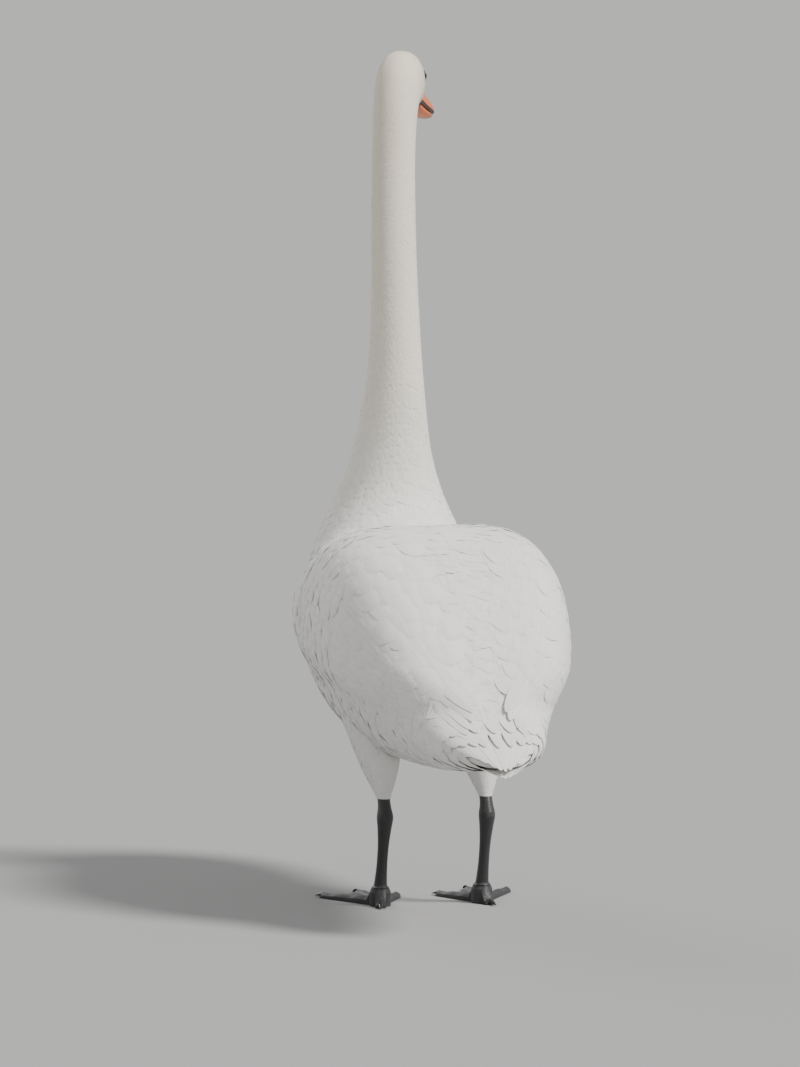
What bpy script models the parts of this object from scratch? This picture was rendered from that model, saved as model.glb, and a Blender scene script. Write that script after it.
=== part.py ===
"""Mute swan (Cygnus olor), an adult cob standing on land with its neck held upright, as solids at life size.

Metres, +Z up. The bird faces -Y, its left side is +X, and its soles stand on z = 0.
The head, neck, trunk and tail are one loft along the spine, parted by thin flat cuts. Its outline is
the outline of the plumage, out to the feather tips.
"""

import math

import bpy
import numpy as np

# ---------------------------------------------------------------- driving dimensions

CUT_GAP = 0.0003  # clear space between neighbouring parts
RING_POINTS = 28  # points round a section of the spine loft

# The head looks to the bird's right: its turn about an upright axis in the neck, and where
# along SPINE the turn is complete and where it begins.
HEAD_TURN = -28.0
TURN_AXIS_Y = -0.172
TURN_FULL, TURN_NONE = 6.5, 12.0

# Sections along the spine, from the base of the bill to the tip of the tail:
# back point (y, z), belly point (y, z), half width, height of the widest line as a share, fullness.
SPINE = (
    (-0.2720, 1.1580, -0.2620, 1.1150, 0.0185, 0.45, 2.1),  # feather line round the bill
    (-0.2610, 1.1750, -0.2500, 1.1150, 0.0245, 0.47, 2.1),  # lores
    (-0.2450, 1.1890, -0.2380, 1.1150, 0.0290, 0.48, 2.2),  # eyes
    (-0.2200, 1.1990, -0.2260, 1.1130, 0.0320, 0.48, 2.2),  # crown
    (-0.1920, 1.1960, -0.2170, 1.1080, 0.0330, 0.48, 2.1),  # cheeks
    (-0.1690, 1.1780, -0.2110, 1.0970, 0.0325, 0.50, 2.0),  # nape
    (-0.1540, 1.1480, -0.2070, 1.0790, 0.0315, 0.50, 2.0),
    (-0.1440, 1.1050, -0.2040, 1.0520, 0.0310, 0.50, 2.0),  # throat
    (-0.1370, 1.0400, -0.2000, 1.0080, 0.0310, 0.50, 2.0),
    (-0.1300, 0.9600, -0.1970, 0.9400, 0.0320, 0.50, 2.0),
    (-0.1250, 0.8700, -0.1970, 0.8580, 0.0335, 0.50, 2.0),
    (-0.1220, 0.7800, -0.2030, 0.7680, 0.0375, 0.50, 2.0),
    (-0.1240, 0.7000, -0.2230, 0.6820, 0.0460, 0.50, 2.0),  # the neck begins to widen
    (-0.1310, 0.6350, -0.2570, 0.6020, 0.0590, 0.50, 2.0),
    (-0.1330, 0.5830, -0.3020, 0.5260, 0.0800, 0.52, 2.0),  # foot of the neck
    (-0.1200, 0.5440, -0.3400, 0.4420, 0.1040, 0.54, 2.1),
    (-0.0900, 0.5220, -0.3480, 0.3530, 0.1220, 0.55, 2.1),  # breast
    (-0.0450, 0.5120, -0.3050, 0.2760, 0.1350, 0.56, 2.2),
    (0.0090, 0.5170, -0.2080, 0.2280, 0.1410, 0.56, 2.2),
    (0.0700, 0.5150, -0.0900, 0.2100, 0.1460, 0.56, 2.2),  # widest part of the trunk
    (0.1380, 0.5040, 0.0300, 0.2060, 0.1460, 0.55, 2.2),
    (0.2060, 0.4800, 0.1420, 0.2070, 0.1400, 0.53, 2.2),
    (0.2700, 0.4360, 0.2380, 0.2120, 0.1260, 0.51, 2.1),
    (0.3260, 0.3830, 0.3180, 0.2190, 0.1070, 0.50, 2.1),  # rump and vent
    (0.3700, 0.3360, 0.3800, 0.2270, 0.0900, 0.50, 2.2),  # tail coverts
    (0.4100, 0.3040, 0.4230, 0.2330, 0.0760, 0.52, 2.4),
    (0.4480, 0.2810, 0.4550, 0.2370, 0.0560, 0.55, 2.6),
    (0.4800, 0.2600, 0.4820, 0.2370, 0.0350, 0.58, 2.6),
    (0.5060, 0.2390, 0.5050, 0.2290, 0.0120, 0.60, 2.4),  # tip of the tail
)

# Where the loft is parted, in places along SPINE, and the sections each part is drawn with.
HEAD_START, NECK_TOP, NECK_UPPER_END, NECK_MIDDLE_END = 0.0, 6.3, 9.0, 11.4
TRUNK_START, TAIL_START, TAIL_END = 13.6, 24.0, len(SPINE) - 1.0
HEAD_RINGS, NECK_RINGS, TRUNK_RINGS, TAIL_RINGS = 12, 6, 21, 8

# Bill: the same seven numbers per section, from the feather line to the tip.
BILL_UPPER = (
    (-0.2735, 1.1540, -0.2645, 1.1220, 0.0168, 0.22, 2.3),
    (-0.2880, 1.1465, -0.2810, 1.1180, 0.0165, 0.22, 2.3),
    (-0.3050, 1.1360, -0.3000, 1.1130, 0.0162, 0.24, 2.4),
    (-0.3220, 1.1270, -0.3190, 1.1085, 0.0165, 0.28, 2.6),
    (-0.3370, 1.1190, -0.3350, 1.1045, 0.0162, 0.32, 2.6),
    (-0.3470, 1.1120, -0.3455, 1.1010, 0.0135, 0.35, 2.4),
    (-0.3530, 1.1040, -0.3520, 1.0985, 0.0060, 0.40, 2.1),
)
BILL_LOWER = (
    (-0.2641, 1.1214, -0.2625, 1.1150, 0.0150, 0.80, 2.2),
    (-0.2808, 1.1174, -0.2785, 1.1085, 0.0148, 0.80, 2.2),
    (-0.2998, 1.1124, -0.2975, 1.1035, 0.0145, 0.80, 2.2),
    (-0.3188, 1.1079, -0.3170, 1.1000, 0.0145, 0.80, 2.2),
    (-0.3348, 1.1039, -0.3335, 1.0975, 0.0138, 0.80, 2.2),
    (-0.3450, 1.1004, -0.3440, 1.0955, 0.0110, 0.80, 2.1),
)
BILL_RINGS, BILL_POINTS = 10, 18
KNOB_CENTRE = (0.0, -0.2800, 1.1570)
KNOB_RADII = (0.0105, 0.0120, 0.0115)

EYE_RADIUS, EYE_PROUD = 0.0062, 0.0020  # eyeball, and how far it stands out of the face
EYE_PLACE, EYE_ANGLE = 2.05, 73.0  # along SPINE, and degrees round from the crown

# Folded wing: shares of its length from the shoulder to the tip, then at each of them the upper and
# lower edge in degrees round from the back, how far it stands off the trunk, and its depth.
WING_FROM, WING_TO = 14.9, 24.75
WING_SHARE = (0.0, 0.08, 0.22, 0.42, 0.68, 0.84, 0.94, 1.0)
WING_TOP = (56.0, 30.0, 6.0, 0.0, 0.0, 0.0, 1.0, 6.0)
WING_LOW = (84.0, 98.0, 107.0, 110.0, 104.0, 86.0, 52.0, 20.0)
WING_RISE = (0.005, 0.012, 0.026, 0.036, 0.036, 0.036, 0.036, 0.032)
WING_DEPTH = (0.040, 0.045, 0.050, 0.050, 0.046, 0.030, 0.016, 0.009)
WING_EDGES = (0.62, 0.25)  # the rise left at the upper and the lower edge, as shares
WING_SWELL = 0.6  # power of the swell between its edges
WING_FULL = 3.8  # fullness of its upper edge, which squares the back
WING_SQUARE = 0.40  # the share of its length by which that fullness is reached
WING_LONG, WING_ROUND = 17, 9  # cells of its outer face

# Leg: (y, z, half width, half depth) from inside the belly to the foot; x is LEG_X throughout.
LEG_X = 0.074
THIGH = (
    (0.000, 0.290, 0.046, 0.066),
    (0.024, 0.245, 0.040, 0.056),
    (0.050, 0.208, 0.030, 0.040),
    (0.068, 0.180, 0.020, 0.025),
    (0.078, 0.163, 0.013, 0.015),
)
SHANK = (
    (0.0785, 0.1615, 0.0088, 0.0105),
    (0.0865, 0.1450, 0.0092, 0.0120),
    (0.0900, 0.1300, 0.0115, 0.0150),
    (0.0865, 0.1130, 0.0098, 0.0125),
    (0.0790, 0.0880, 0.0078, 0.0100),
    (0.0700, 0.0580, 0.0076, 0.0098),
    (0.0620, 0.0330, 0.0090, 0.0108),
    (0.0600, 0.0263, 0.0100, 0.0115),
)
LIMB_POINTS = 16

# Foot: toes as (degrees outward from straight ahead, length, half width, height at the knuckle).
FOOT_Y = 0.060
TOES = ((-27.0, 0.094, 0.0070, 0.0130), (3.0, 0.128, 0.0078, 0.0145), (31.0, 0.118, 0.0072, 0.0130))
HIND_TOE = (168.0, 0.030, 0.0060, 0.0125)
TOE_TAPER, TOE_SPREAD = 0.45, 1.25  # share of its height a toe loses to its tip; its sole over its half width
WEB_THICK, WEB_NOTCH = 0.0034, 0.15  # thickness of the web, and how deep its edge curves in
WEB_STEPS, HEEL_STEPS, HEEL_RIM, TOE_SIDE = 8, 9, 0.0025, 0.0075
HUB_RADIUS, HUB_HEIGHT, HUB_SLOPE = 0.0125, 0.0260, 0.018
FOOT_RINGS, RING_CROWDING = 7, 0.9
CLAW_LENGTH, CLAW_WIDTH, CLAW_HEIGHT, CLAW_CLEAR = 0.016, 0.0036, 0.0080, 0.0010
CLAW_POINTS, CLAW_RINGS, CLAW_TIP = 6, 3, 0.03  # the tip's width squared, as a share of the base's
CLAW_DROOP, CLAW_THIN = 0.8, 0.6

# The origin lies under the middle of the bounding box, which runs from the breast to the tip of the tail.
BREAST_Y, TAIL_Y = -0.3503, 0.5060
ORIGIN_Y = (BREAST_Y + TAIL_Y) / 2

COLOURS = {  # colour, roughness
    "plumage_white": ((0.86, 0.85, 0.81), 0.75),
    "plumage_neck": ((0.84, 0.81, 0.73), 0.75),
    "bill_orange": ((0.80, 0.24, 0.05), 0.42),
    "bill_black": ((0.012, 0.011, 0.011), 0.45),
    "eye_dark": ((0.010, 0.007, 0.006), 0.08),
    "leg_black": ((0.022, 0.022, 0.023), 0.55),
    "claw_black": ((0.012, 0.011, 0.011), 0.35),
}


# ---------------------------------------------------------------- scene and mesh helpers


def clear_scene():
    for obj in list(bpy.data.objects):
        bpy.data.objects.remove(obj, do_unlink=True)


def make_collection(name, hidden=False):
    made = bpy.data.collections.new(name)
    bpy.context.scene.collection.children.link(made)
    made.hide_render = hidden
    return made


def make_material(name):
    colour, roughness = COLOURS[name]
    made = bpy.data.materials.new(name)
    made.use_nodes = True
    shader = made.node_tree.nodes["Principled BSDF"]
    shader.inputs["Base Color"].default_value = (*colour, 1.0)
    shader.inputs["Roughness"].default_value = roughness
    shader.inputs["Metallic"].default_value = 0.0
    return made


def add_mesh(name, points, faces, material, collection):
    """A mesh object at the origin, its points moved so that the box is centred over x = y = 0."""
    placed = np.asarray(points, float) - (0.0, ORIGIN_Y, 0.0)
    mesh = bpy.data.meshes.new(name)
    mesh.from_pydata([tuple(p) for p in placed], [], faces)
    if material:
        mesh.materials.append(material)
    obj = bpy.data.objects.new(name, mesh)
    collection.objects.link(obj)
    return obj


def add_cutter(name, points, faces, collection):
    obj = add_mesh(name, points, faces, None, collection)
    obj.hide_render = True
    obj.display_type = "WIRE"
    return obj


def subtract(obj, cutter):
    made = obj.modifiers.new("less_" + cutter.name, "BOOLEAN")
    made.operation = "DIFFERENCE"
    made.solver = "EXACT"
    made.object = cutter


def mirrored(points, faces):
    """The same solid on the other side of the bird, with its faces turned to keep them outward."""
    return np.asarray(points) * (-1, 1, 1), [tuple(reversed(face)) for face in faces]


# ---------------------------------------------------------------- lofts


def spline(rows, place):
    """Catmull-Rom value of the rows at a place counted in rows."""
    rows = np.asarray(rows, float)
    last = len(rows) - 1
    place = min(max(place, 0.0), float(last))
    i = min(int(place), last - 1)
    t = place - i
    a, b, c, d = rows[max(i - 1, 0)], rows[i], rows[i + 1], rows[min(i + 2, last)]
    return b + 0.5 * t * (c - a + t * (2 * a - 5 * b + 4 * c - d + t * (3 * (b - c) + d - a)))


def section_point(row, angle, grow=0.0):
    """A point of a section, at an angle round from its back point towards +X, moved out by grow."""
    back_y, back_z, belly_y, belly_z, half, level, full = row
    height = math.hypot(back_y - belly_y, back_z - belly_z)
    c, s = math.cos(angle), math.sin(angle)
    across = math.copysign(abs(s) ** (2 / full), s) * (half + grow)
    if c >= 0:
        share = level + ((1 - level) + grow / height) * c ** (2 / full)
    else:
        share = level - (level + grow / height) * (-c) ** (2 / full)
    return np.array((across, belly_y + share * (back_y - belly_y), belly_z + share * (back_z - belly_z)))


def section_normal(row):
    """The direction square to a section, towards the tail end of its loft."""
    rise = np.array((0.0, row[0] - row[2], row[1] - row[3]))
    rise /= np.linalg.norm(rise)
    return np.array((0.0, rise[2], -rise[1]))


def turned(points, degrees):
    """Points turned about the upright axis in the neck."""
    c, s = math.cos(math.radians(degrees)), math.sin(math.radians(degrees))
    x, y, z = (np.asarray(points, float) - (0.0, TURN_AXIS_Y, 0.0)).T
    return np.stack((c * x - s * y, s * x + c * y + TURN_AXIS_Y, z), axis=1)


def turn_at(place):
    """How far the section at this place of SPINE is turned, in degrees."""
    share = min(max((TURN_NONE - place) / (TURN_NONE - TURN_FULL), 0.0), 1.0)
    return HEAD_TURN * share * share * (3 - 2 * share)


def ring_faces(rings, points):
    """Pairs of triangles between rings of points, and a flat face over each end."""
    faces = [tuple(range(points)), tuple(reversed(range((rings - 1) * points, rings * points)))]
    for i in range(rings - 1):
        for j in range(points):
            k = (j + 1) % points
            a, b, c, d = i * points + j, (i + 1) * points + j, (i + 1) * points + k, i * points + k
            faces += [(a, b, c), (a, c, d)]
    return faces


def loft(rows, places, points, grow=0.0, shrink_ends=0.0):
    """A closed loft of the rows through these places; its end sections are moved in by shrink_ends.
    The spine turns with the head, and the bill has the head's whole turn."""
    made = []
    for place in places:
        row = spline(rows, place)
        inward = 1 if place == places[0] else -1 if place == places[-1] else 0
        shift = section_normal(row) * shrink_ends * inward
        ring = [section_point(row, math.tau * j / points, grow) + shift for j in range(points)]
        made.append(turned(ring, turn_at(place) if rows is SPINE else HEAD_TURN))
    return np.concatenate(made), ring_faces(len(places), points)


def limb(stations, points):
    """A closed loft of level ellipses round LEG_X, from the top station to the lowest."""
    made = []
    for y, z, half, deep in stations:
        for j in range(points):
            angle = math.tau * j / points
            made.append((LEG_X + half * math.sin(angle), y + deep * math.cos(angle), z))
    return np.array(made), ring_faces(len(stations), points)


def facing_out(points, faces):
    """The faces, turned over together if the solid they close has a negative volume."""
    total = 0.0
    for face in faces:
        for i in range(1, len(face) - 1):
            total += np.dot(points[face[0]], np.cross(points[face[i]], points[face[i + 1]]))
    return faces if total > 0 else [tuple(reversed(face)) for face in faces]


def ellipsoid(centre, radii, rings, points):
    made = [(0.0, 0.0, 1.0)]
    for i in range(1, rings):
        polar = math.pi * i / rings
        for j in range(points):
            turn = math.tau * j / points
            made.append((math.sin(polar) * math.cos(turn), math.sin(polar) * math.sin(turn), math.cos(polar)))
    made.append((0.0, 0.0, -1.0))
    faces = []
    for j in range(points):
        k = (j + 1) % points
        faces.append((0, 1 + j, 1 + k))
        for i in range(rings - 2):
            low = 1 + i * points
            faces.append((low + j, low + points + j, low + points + k, low + k))
        end = 1 + (rings - 2) * points
        faces.append((end + j, end + points, end + k))
    return np.array(made) * radii + centre, faces


# ---------------------------------------------------------------- sub-parts


def spine_part(name, places, material, collection):
    points, faces = loft(SPINE, places, RING_POINTS, shrink_ends=CUT_GAP / 2)
    return add_mesh(name, points, facing_out(points, faces), material, collection)


def spine_cutter(name, places, collection):
    """The plumage surface grown by the gap, to cut a neighbour back from it."""
    points, faces = loft(SPINE, places, RING_POINTS, grow=CUT_GAP)
    return add_cutter(name, points, facing_out(points, faces), collection)


def eye_centre():
    row = spline(SPINE, EYE_PLACE)
    on_face = section_point(row, math.radians(EYE_ANGLE))
    outward = on_face - np.array((0.0, (row[0] + row[2]) / 2, (row[1] + row[3]) / 2))
    outward /= np.linalg.norm(outward)
    return on_face - outward * (EYE_RADIUS - EYE_PROUD)


def add_eyes(head, materials, parts, cutters):
    for side, name in ((1, "eye_left"), (-1, "eye_right")):
        centre = turned([eye_centre() * (side, 1, 1)], HEAD_TURN)[0]
        points, faces = ellipsoid(centre, (EYE_RADIUS,) * 3, 7, 12)
        add_mesh(name, points, faces, materials["eye_dark"], parts)
        points, faces = ellipsoid(centre, (EYE_RADIUS + CUT_GAP,) * 3, 7, 12)
        subtract(head, add_cutter("socket_" + name, points, faces, cutters))


def add_bill(head_cutter, materials, parts, cutters):
    for name, table in (("bill_upper", BILL_UPPER), ("bill_lower", BILL_LOWER)):
        points, faces = loft(table, np.linspace(0.0, len(table) - 1.0, BILL_RINGS), BILL_POINTS)
        made = add_mesh(name, points, facing_out(points, faces), materials["bill_orange"], parts)
        subtract(made, head_cutter)
    places = np.linspace(0.0, len(BILL_UPPER) - 1.0, BILL_RINGS)
    points, faces = loft(BILL_UPPER, places, BILL_POINTS, grow=CUT_GAP)
    bill_cutter = add_cutter("bill_grown", points, facing_out(points, faces), cutters)
    points, faces = ellipsoid(KNOB_CENTRE, KNOB_RADII, 8, 14)
    points = turned(points, HEAD_TURN)
    knob = add_mesh("bill_knob", points, faces, materials["bill_black"], parts)
    subtract(knob, bill_cutter)
    subtract(knob, head_cutter)


def wing_point(share, across, inner):
    """A point of the left wing: share runs from shoulder to tip, across from the upper to the lower edge."""
    place = WING_FROM + (WING_TO - WING_FROM) * share
    row = spline(SPINE, place)
    top, low, rise, depth = (
        float(np.interp(share, WING_SHARE, values)) for values in (WING_TOP, WING_LOW, WING_RISE, WING_DEPTH)
    )
    angle = math.radians(top + (low - top) * across)
    edge = WING_EDGES[0] if across < 0.5 else WING_EDGES[1]
    swell = edge + (1 - edge) * math.sin(math.pi * across) ** WING_SWELL
    full = row[6] + (WING_FULL - row[6]) * (1 - across) * min(share / WING_SQUARE, 1.0)
    on_trunk = section_point((*row[:6], full), angle)
    middle = np.array((0.0, row[2] + row[5] * (row[0] - row[2]), row[3] + row[5] * (row[1] - row[3])))
    outward = on_trunk - middle
    outward /= np.linalg.norm(outward)
    point = on_trunk + outward * (rise * swell - (depth if inner else 0.0))
    point[0] = max(point[0], CUT_GAP / 2)
    return point


def wing_block():
    """The left wing as a closed slab whose inner face lies inside the trunk."""
    points = []
    for inner in (False, True):
        for i in range(WING_LONG + 1):
            for j in range(WING_ROUND + 1):
                points.append(wing_point(i / WING_LONG, j / WING_ROUND, inner))
    wide = WING_ROUND + 1
    shift = (WING_LONG + 1) * wide
    faces = []
    for i in range(WING_LONG):
        for j in range(WING_ROUND):
            a, b, c, d = i * wide + j, i * wide + j + 1, (i + 1) * wide + j + 1, (i + 1) * wide + j
            faces.append((a, b, c, d))
            faces.append((shift + d, shift + c, shift + b, shift + a))
    rim = list(range(WING_ROUND))
    rim += [i * wide + WING_ROUND for i in range(WING_LONG)]
    rim += [WING_LONG * wide + j for j in range(WING_ROUND, 0, -1)]
    rim += [i * wide for i in range(WING_LONG, 0, -1)]
    for a, b in zip(rim, rim[1:] + rim[:1]):
        faces.append((b, a, shift + a, shift + b))
    points = np.array(points)
    return points, facing_out(points, faces)


def add_wings(body_cutter, materials, parts):
    points, faces = wing_block()
    left = add_mesh("wing_left", points, faces, materials["plumage_white"], parts)
    right = add_mesh("wing_right", *mirrored(points, faces), materials["plumage_white"], parts)
    subtract(left, body_cutter)
    subtract(right, body_cutter)


def toe_height(x, y):
    """Height of the foot's upper face at a point measured from the hub, x outward and y backward."""
    radius = math.hypot(x, y)
    height = WEB_THICK
    for angle, length, half, knuckle in (*TOES, HIND_TOE):
        turn = math.radians(angle)
        along = x * math.sin(turn) - y * math.cos(turn)
        off = x * math.cos(turn) + y * math.sin(turn)
        if along < 0:
            continue
        crown = knuckle * (1 - TOE_TAPER * min(along / length, 1.0))
        height = max(height, crown * math.sqrt(max(0.0, 1 - (off / (TOE_SPREAD * half)) ** 2)))
    fall = min(max((radius - HUB_RADIUS) / HUB_SLOPE, 0.0), 1.0)
    return max(height, WEB_THICK + (HUB_HEIGHT - WEB_THICK) * (1 - fall) ** 2)


def toe_reach(off, length):
    """Radius at which a toe's straight side is met, this many degrees off its line."""
    return length if off <= 0 else min(length, TOE_SIDE / math.sin(math.radians(min(off, 90.0))))


def foot_outline():
    """Angles round the hub and the radius of the sole at each: web between the toes, heel behind them."""
    stops = [(HIND_TOE[0] - 360, HIND_TOE[1]), *(toe[:2] for toe in TOES), HIND_TOE[:2]]
    outline = []
    for i, ((start, near), (end, far)) in enumerate(zip(stops, stops[1:])):
        heel = i in (0, len(stops) - 2)
        steps = HEEL_STEPS if heel else WEB_STEPS
        for k in range(steps):
            t = k / steps
            angle = start + (end - start) * (0.5 - 0.5 * math.cos(math.pi * t))
            if heel:
                radius = max(toe_reach(angle - start, near), toe_reach(end - angle, far), HUB_RADIUS + HEEL_RIM)
            else:
                radius = (near + (far - near) * t) * (1 - WEB_NOTCH * math.sin(math.pi * t) ** 0.8)
            outline.append((math.radians(angle), radius))
    return outline


def foot_solid():
    """A webbed left foot: rings round the hub with the toes raised, closed by a flat sole."""
    outline = foot_outline()
    points = []
    for k in range(FOOT_RINGS):
        share = (k / (FOOT_RINGS - 1)) ** RING_CROWDING
        for angle, radius in outline:
            r = HUB_RADIUS + (radius - HUB_RADIUS) * share
            x, y = r * math.sin(angle), -r * math.cos(angle)
            points.append((LEG_X + x, FOOT_Y + y, HUB_HEIGHT if k == 0 else toe_height(x, y)))
    for angle, radius in outline:
        points.append((LEG_X + radius * math.sin(angle), FOOT_Y - radius * math.cos(angle), 0.0))
    points = np.array(points)
    return points, facing_out(points, ring_faces(FOOT_RINGS + 1, len(outline)))


def claw_solid(toe):
    """A short curved cone just beyond the tip of a toe."""
    angle, length, _, knuckle = toe
    turn = math.radians(angle)
    ahead = np.array((math.sin(turn), -math.cos(turn), 0.0))
    side = np.array((math.cos(turn), math.sin(turn), 0.0))
    start = np.array((LEG_X, FOOT_Y, 0.0)) + ahead * (length + CUT_GAP)
    points = []
    for k in range(CLAW_RINGS + 1):
        t = k / CLAW_RINGS
        size = math.sqrt(1 - t * (1 - CLAW_TIP))
        middle = CLAW_CLEAR + (CLAW_HEIGHT - CLAW_CLEAR) / 2 * (1 - CLAW_DROOP * t * t)
        tall = (CLAW_HEIGHT - CLAW_CLEAR) / 2 * size * (1 - CLAW_THIN * t * t)
        for j in range(CLAW_POINTS):
            around = math.tau * j / CLAW_POINTS
            offset = side * CLAW_WIDTH * size * math.sin(around)
            points.append(start + ahead * CLAW_LENGTH * t + offset + (0, 0, middle + tall * math.cos(around)))
    points = np.array(points)
    points[:, 2] = np.maximum(points[:, 2], CLAW_CLEAR)
    return points, facing_out(points, ring_faces(CLAW_RINGS + 1, CLAW_POINTS))


def add_both(name, points, faces, material, parts):
    """The solid on the left side and its mirror on the right, named for their sides."""
    left = add_mesh(name.format("left"), points, faces, material, parts)
    right = add_mesh(name.format("right"), *mirrored(points, faces), material, parts)
    return left, right


def add_legs(body_cutter, materials, parts):
    points, faces = limb(THIGH, LIMB_POINTS)
    for thigh in add_both("thigh_{}", points, facing_out(points, faces), materials["plumage_white"], parts):
        subtract(thigh, body_cutter)
    points, faces = limb(SHANK, LIMB_POINTS)
    add_both("shank_{}", points, facing_out(points, faces), materials["leg_black"], parts)
    add_both("foot_{}", *foot_solid(), materials["leg_black"], parts)
    for toe, place in zip((*TOES, HIND_TOE), ("inner", "middle", "outer", "hind")):
        add_both("claw_" + place + "_{}", *claw_solid(toe), materials["claw_black"], parts)


def build():
    clear_scene()
    parts = make_collection("mute_swan")
    cutters = make_collection("cutters", hidden=True)
    materials = {name: make_material(name) for name in COLOURS}
    white, cream = materials["plumage_white"], materials["plumage_neck"]
    head_places = np.linspace(HEAD_START, NECK_TOP, HEAD_RINGS)
    trunk_places = np.linspace(TRUNK_START, TAIL_START, TRUNK_RINGS)
    tail_places = np.linspace(TAIL_START, TAIL_END, TAIL_RINGS)
    head = spine_part("head", head_places, cream, parts)
    spine_part("neck_upper", np.linspace(NECK_TOP, NECK_UPPER_END, NECK_RINGS), cream, parts)
    spine_part("neck_middle", np.linspace(NECK_UPPER_END, NECK_MIDDLE_END, NECK_RINGS), white, parts)
    spine_part("neck_lower", np.linspace(NECK_MIDDLE_END, TRUNK_START, NECK_RINGS), white, parts)
    spine_part("trunk", trunk_places, white, parts)
    spine_part("tail", tail_places, white, parts)
    head_cutter = spine_cutter("head_grown", head_places, cutters)
    body_cutter = spine_cutter("body_grown", np.concatenate((trunk_places, tail_places[1:])), cutters)
    add_eyes(head, materials, parts, cutters)
    add_bill(head_cutter, materials, parts, cutters)
    add_wings(body_cutter, materials, parts)
    add_legs(body_cutter, materials, parts)


build()
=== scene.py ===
import math

import bpy
import numpy as np
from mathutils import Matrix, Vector


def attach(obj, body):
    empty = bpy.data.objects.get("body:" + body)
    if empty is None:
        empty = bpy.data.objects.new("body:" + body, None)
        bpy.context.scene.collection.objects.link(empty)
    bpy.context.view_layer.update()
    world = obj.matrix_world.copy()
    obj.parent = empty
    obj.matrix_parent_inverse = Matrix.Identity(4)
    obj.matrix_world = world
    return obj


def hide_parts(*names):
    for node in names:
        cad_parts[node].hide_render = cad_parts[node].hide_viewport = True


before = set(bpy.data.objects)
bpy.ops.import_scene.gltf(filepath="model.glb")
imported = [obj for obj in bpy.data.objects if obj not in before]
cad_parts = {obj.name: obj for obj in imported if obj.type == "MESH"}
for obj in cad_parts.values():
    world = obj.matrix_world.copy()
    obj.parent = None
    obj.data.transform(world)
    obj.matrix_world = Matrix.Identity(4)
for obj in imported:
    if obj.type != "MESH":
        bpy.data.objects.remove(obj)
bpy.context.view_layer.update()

# ---------------------------------------------------------------- the bird's shape, as in the solids

# Sections of the plumage along the spine, from the base of the bill to the tip of the tail:
# back point (y, z), belly point (y, z), half width, height of the widest line as a share, fullness.
SPINE = np.array((
    (-0.2720, 1.1580, -0.2620, 1.1150, 0.0185, 0.45, 2.1),
    (-0.2610, 1.1750, -0.2500, 1.1150, 0.0245, 0.47, 2.1),
    (-0.2450, 1.1890, -0.2380, 1.1150, 0.0290, 0.48, 2.2),
    (-0.2200, 1.1990, -0.2260, 1.1130, 0.0320, 0.48, 2.2),
    (-0.1920, 1.1960, -0.2170, 1.1080, 0.0330, 0.48, 2.1),
    (-0.1690, 1.1780, -0.2110, 1.0970, 0.0325, 0.50, 2.0),
    (-0.1540, 1.1480, -0.2070, 1.0790, 0.0315, 0.50, 2.0),
    (-0.1440, 1.1050, -0.2040, 1.0520, 0.0310, 0.50, 2.0),
    (-0.1370, 1.0400, -0.2000, 1.0080, 0.0310, 0.50, 2.0),
    (-0.1300, 0.9600, -0.1970, 0.9400, 0.0320, 0.50, 2.0),
    (-0.1250, 0.8700, -0.1970, 0.8580, 0.0335, 0.50, 2.0),
    (-0.1220, 0.7800, -0.2030, 0.7680, 0.0375, 0.50, 2.0),
    (-0.1240, 0.7000, -0.2230, 0.6820, 0.0460, 0.50, 2.0),
    (-0.1310, 0.6350, -0.2570, 0.6020, 0.0590, 0.50, 2.0),
    (-0.1330, 0.5830, -0.3020, 0.5260, 0.0800, 0.52, 2.0),
    (-0.1200, 0.5440, -0.3400, 0.4420, 0.1040, 0.54, 2.1),
    (-0.0900, 0.5220, -0.3480, 0.3530, 0.1220, 0.55, 2.1),
    (-0.0450, 0.5120, -0.3050, 0.2760, 0.1350, 0.56, 2.2),
    (0.0090, 0.5170, -0.2080, 0.2280, 0.1410, 0.56, 2.2),
    (0.0700, 0.5150, -0.0900, 0.2100, 0.1460, 0.56, 2.2),
    (0.1380, 0.5040, 0.0300, 0.2060, 0.1460, 0.55, 2.2),
    (0.2060, 0.4800, 0.1420, 0.2070, 0.1400, 0.53, 2.2),
    (0.2700, 0.4360, 0.2380, 0.2120, 0.1260, 0.51, 2.1),
    (0.3260, 0.3830, 0.3180, 0.2190, 0.1070, 0.50, 2.1),
    (0.3700, 0.3360, 0.3800, 0.2270, 0.0900, 0.50, 2.2),
    (0.4100, 0.3040, 0.4230, 0.2330, 0.0760, 0.52, 2.4),
    (0.4480, 0.2810, 0.4550, 0.2370, 0.0560, 0.55, 2.6),
    (0.4800, 0.2600, 0.4820, 0.2370, 0.0350, 0.58, 2.6),
    (0.5060, 0.2390, 0.5050, 0.2290, 0.0120, 0.60, 2.4),
))
TAIL_END = len(SPINE) - 1.0
# The head's turn in degrees, about an upright axis: full up to one place along the spine, none from another.
HEAD_TURN, TURN_AXIS_Y, TURN_FULL, TURN_NONE = -28.0, -0.172, 6.5, 12.0
ORIGIN_Y = (-0.3503 + 0.5060) / 2
SIDES = ((1, "left"), (-1, "right"))

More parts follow.
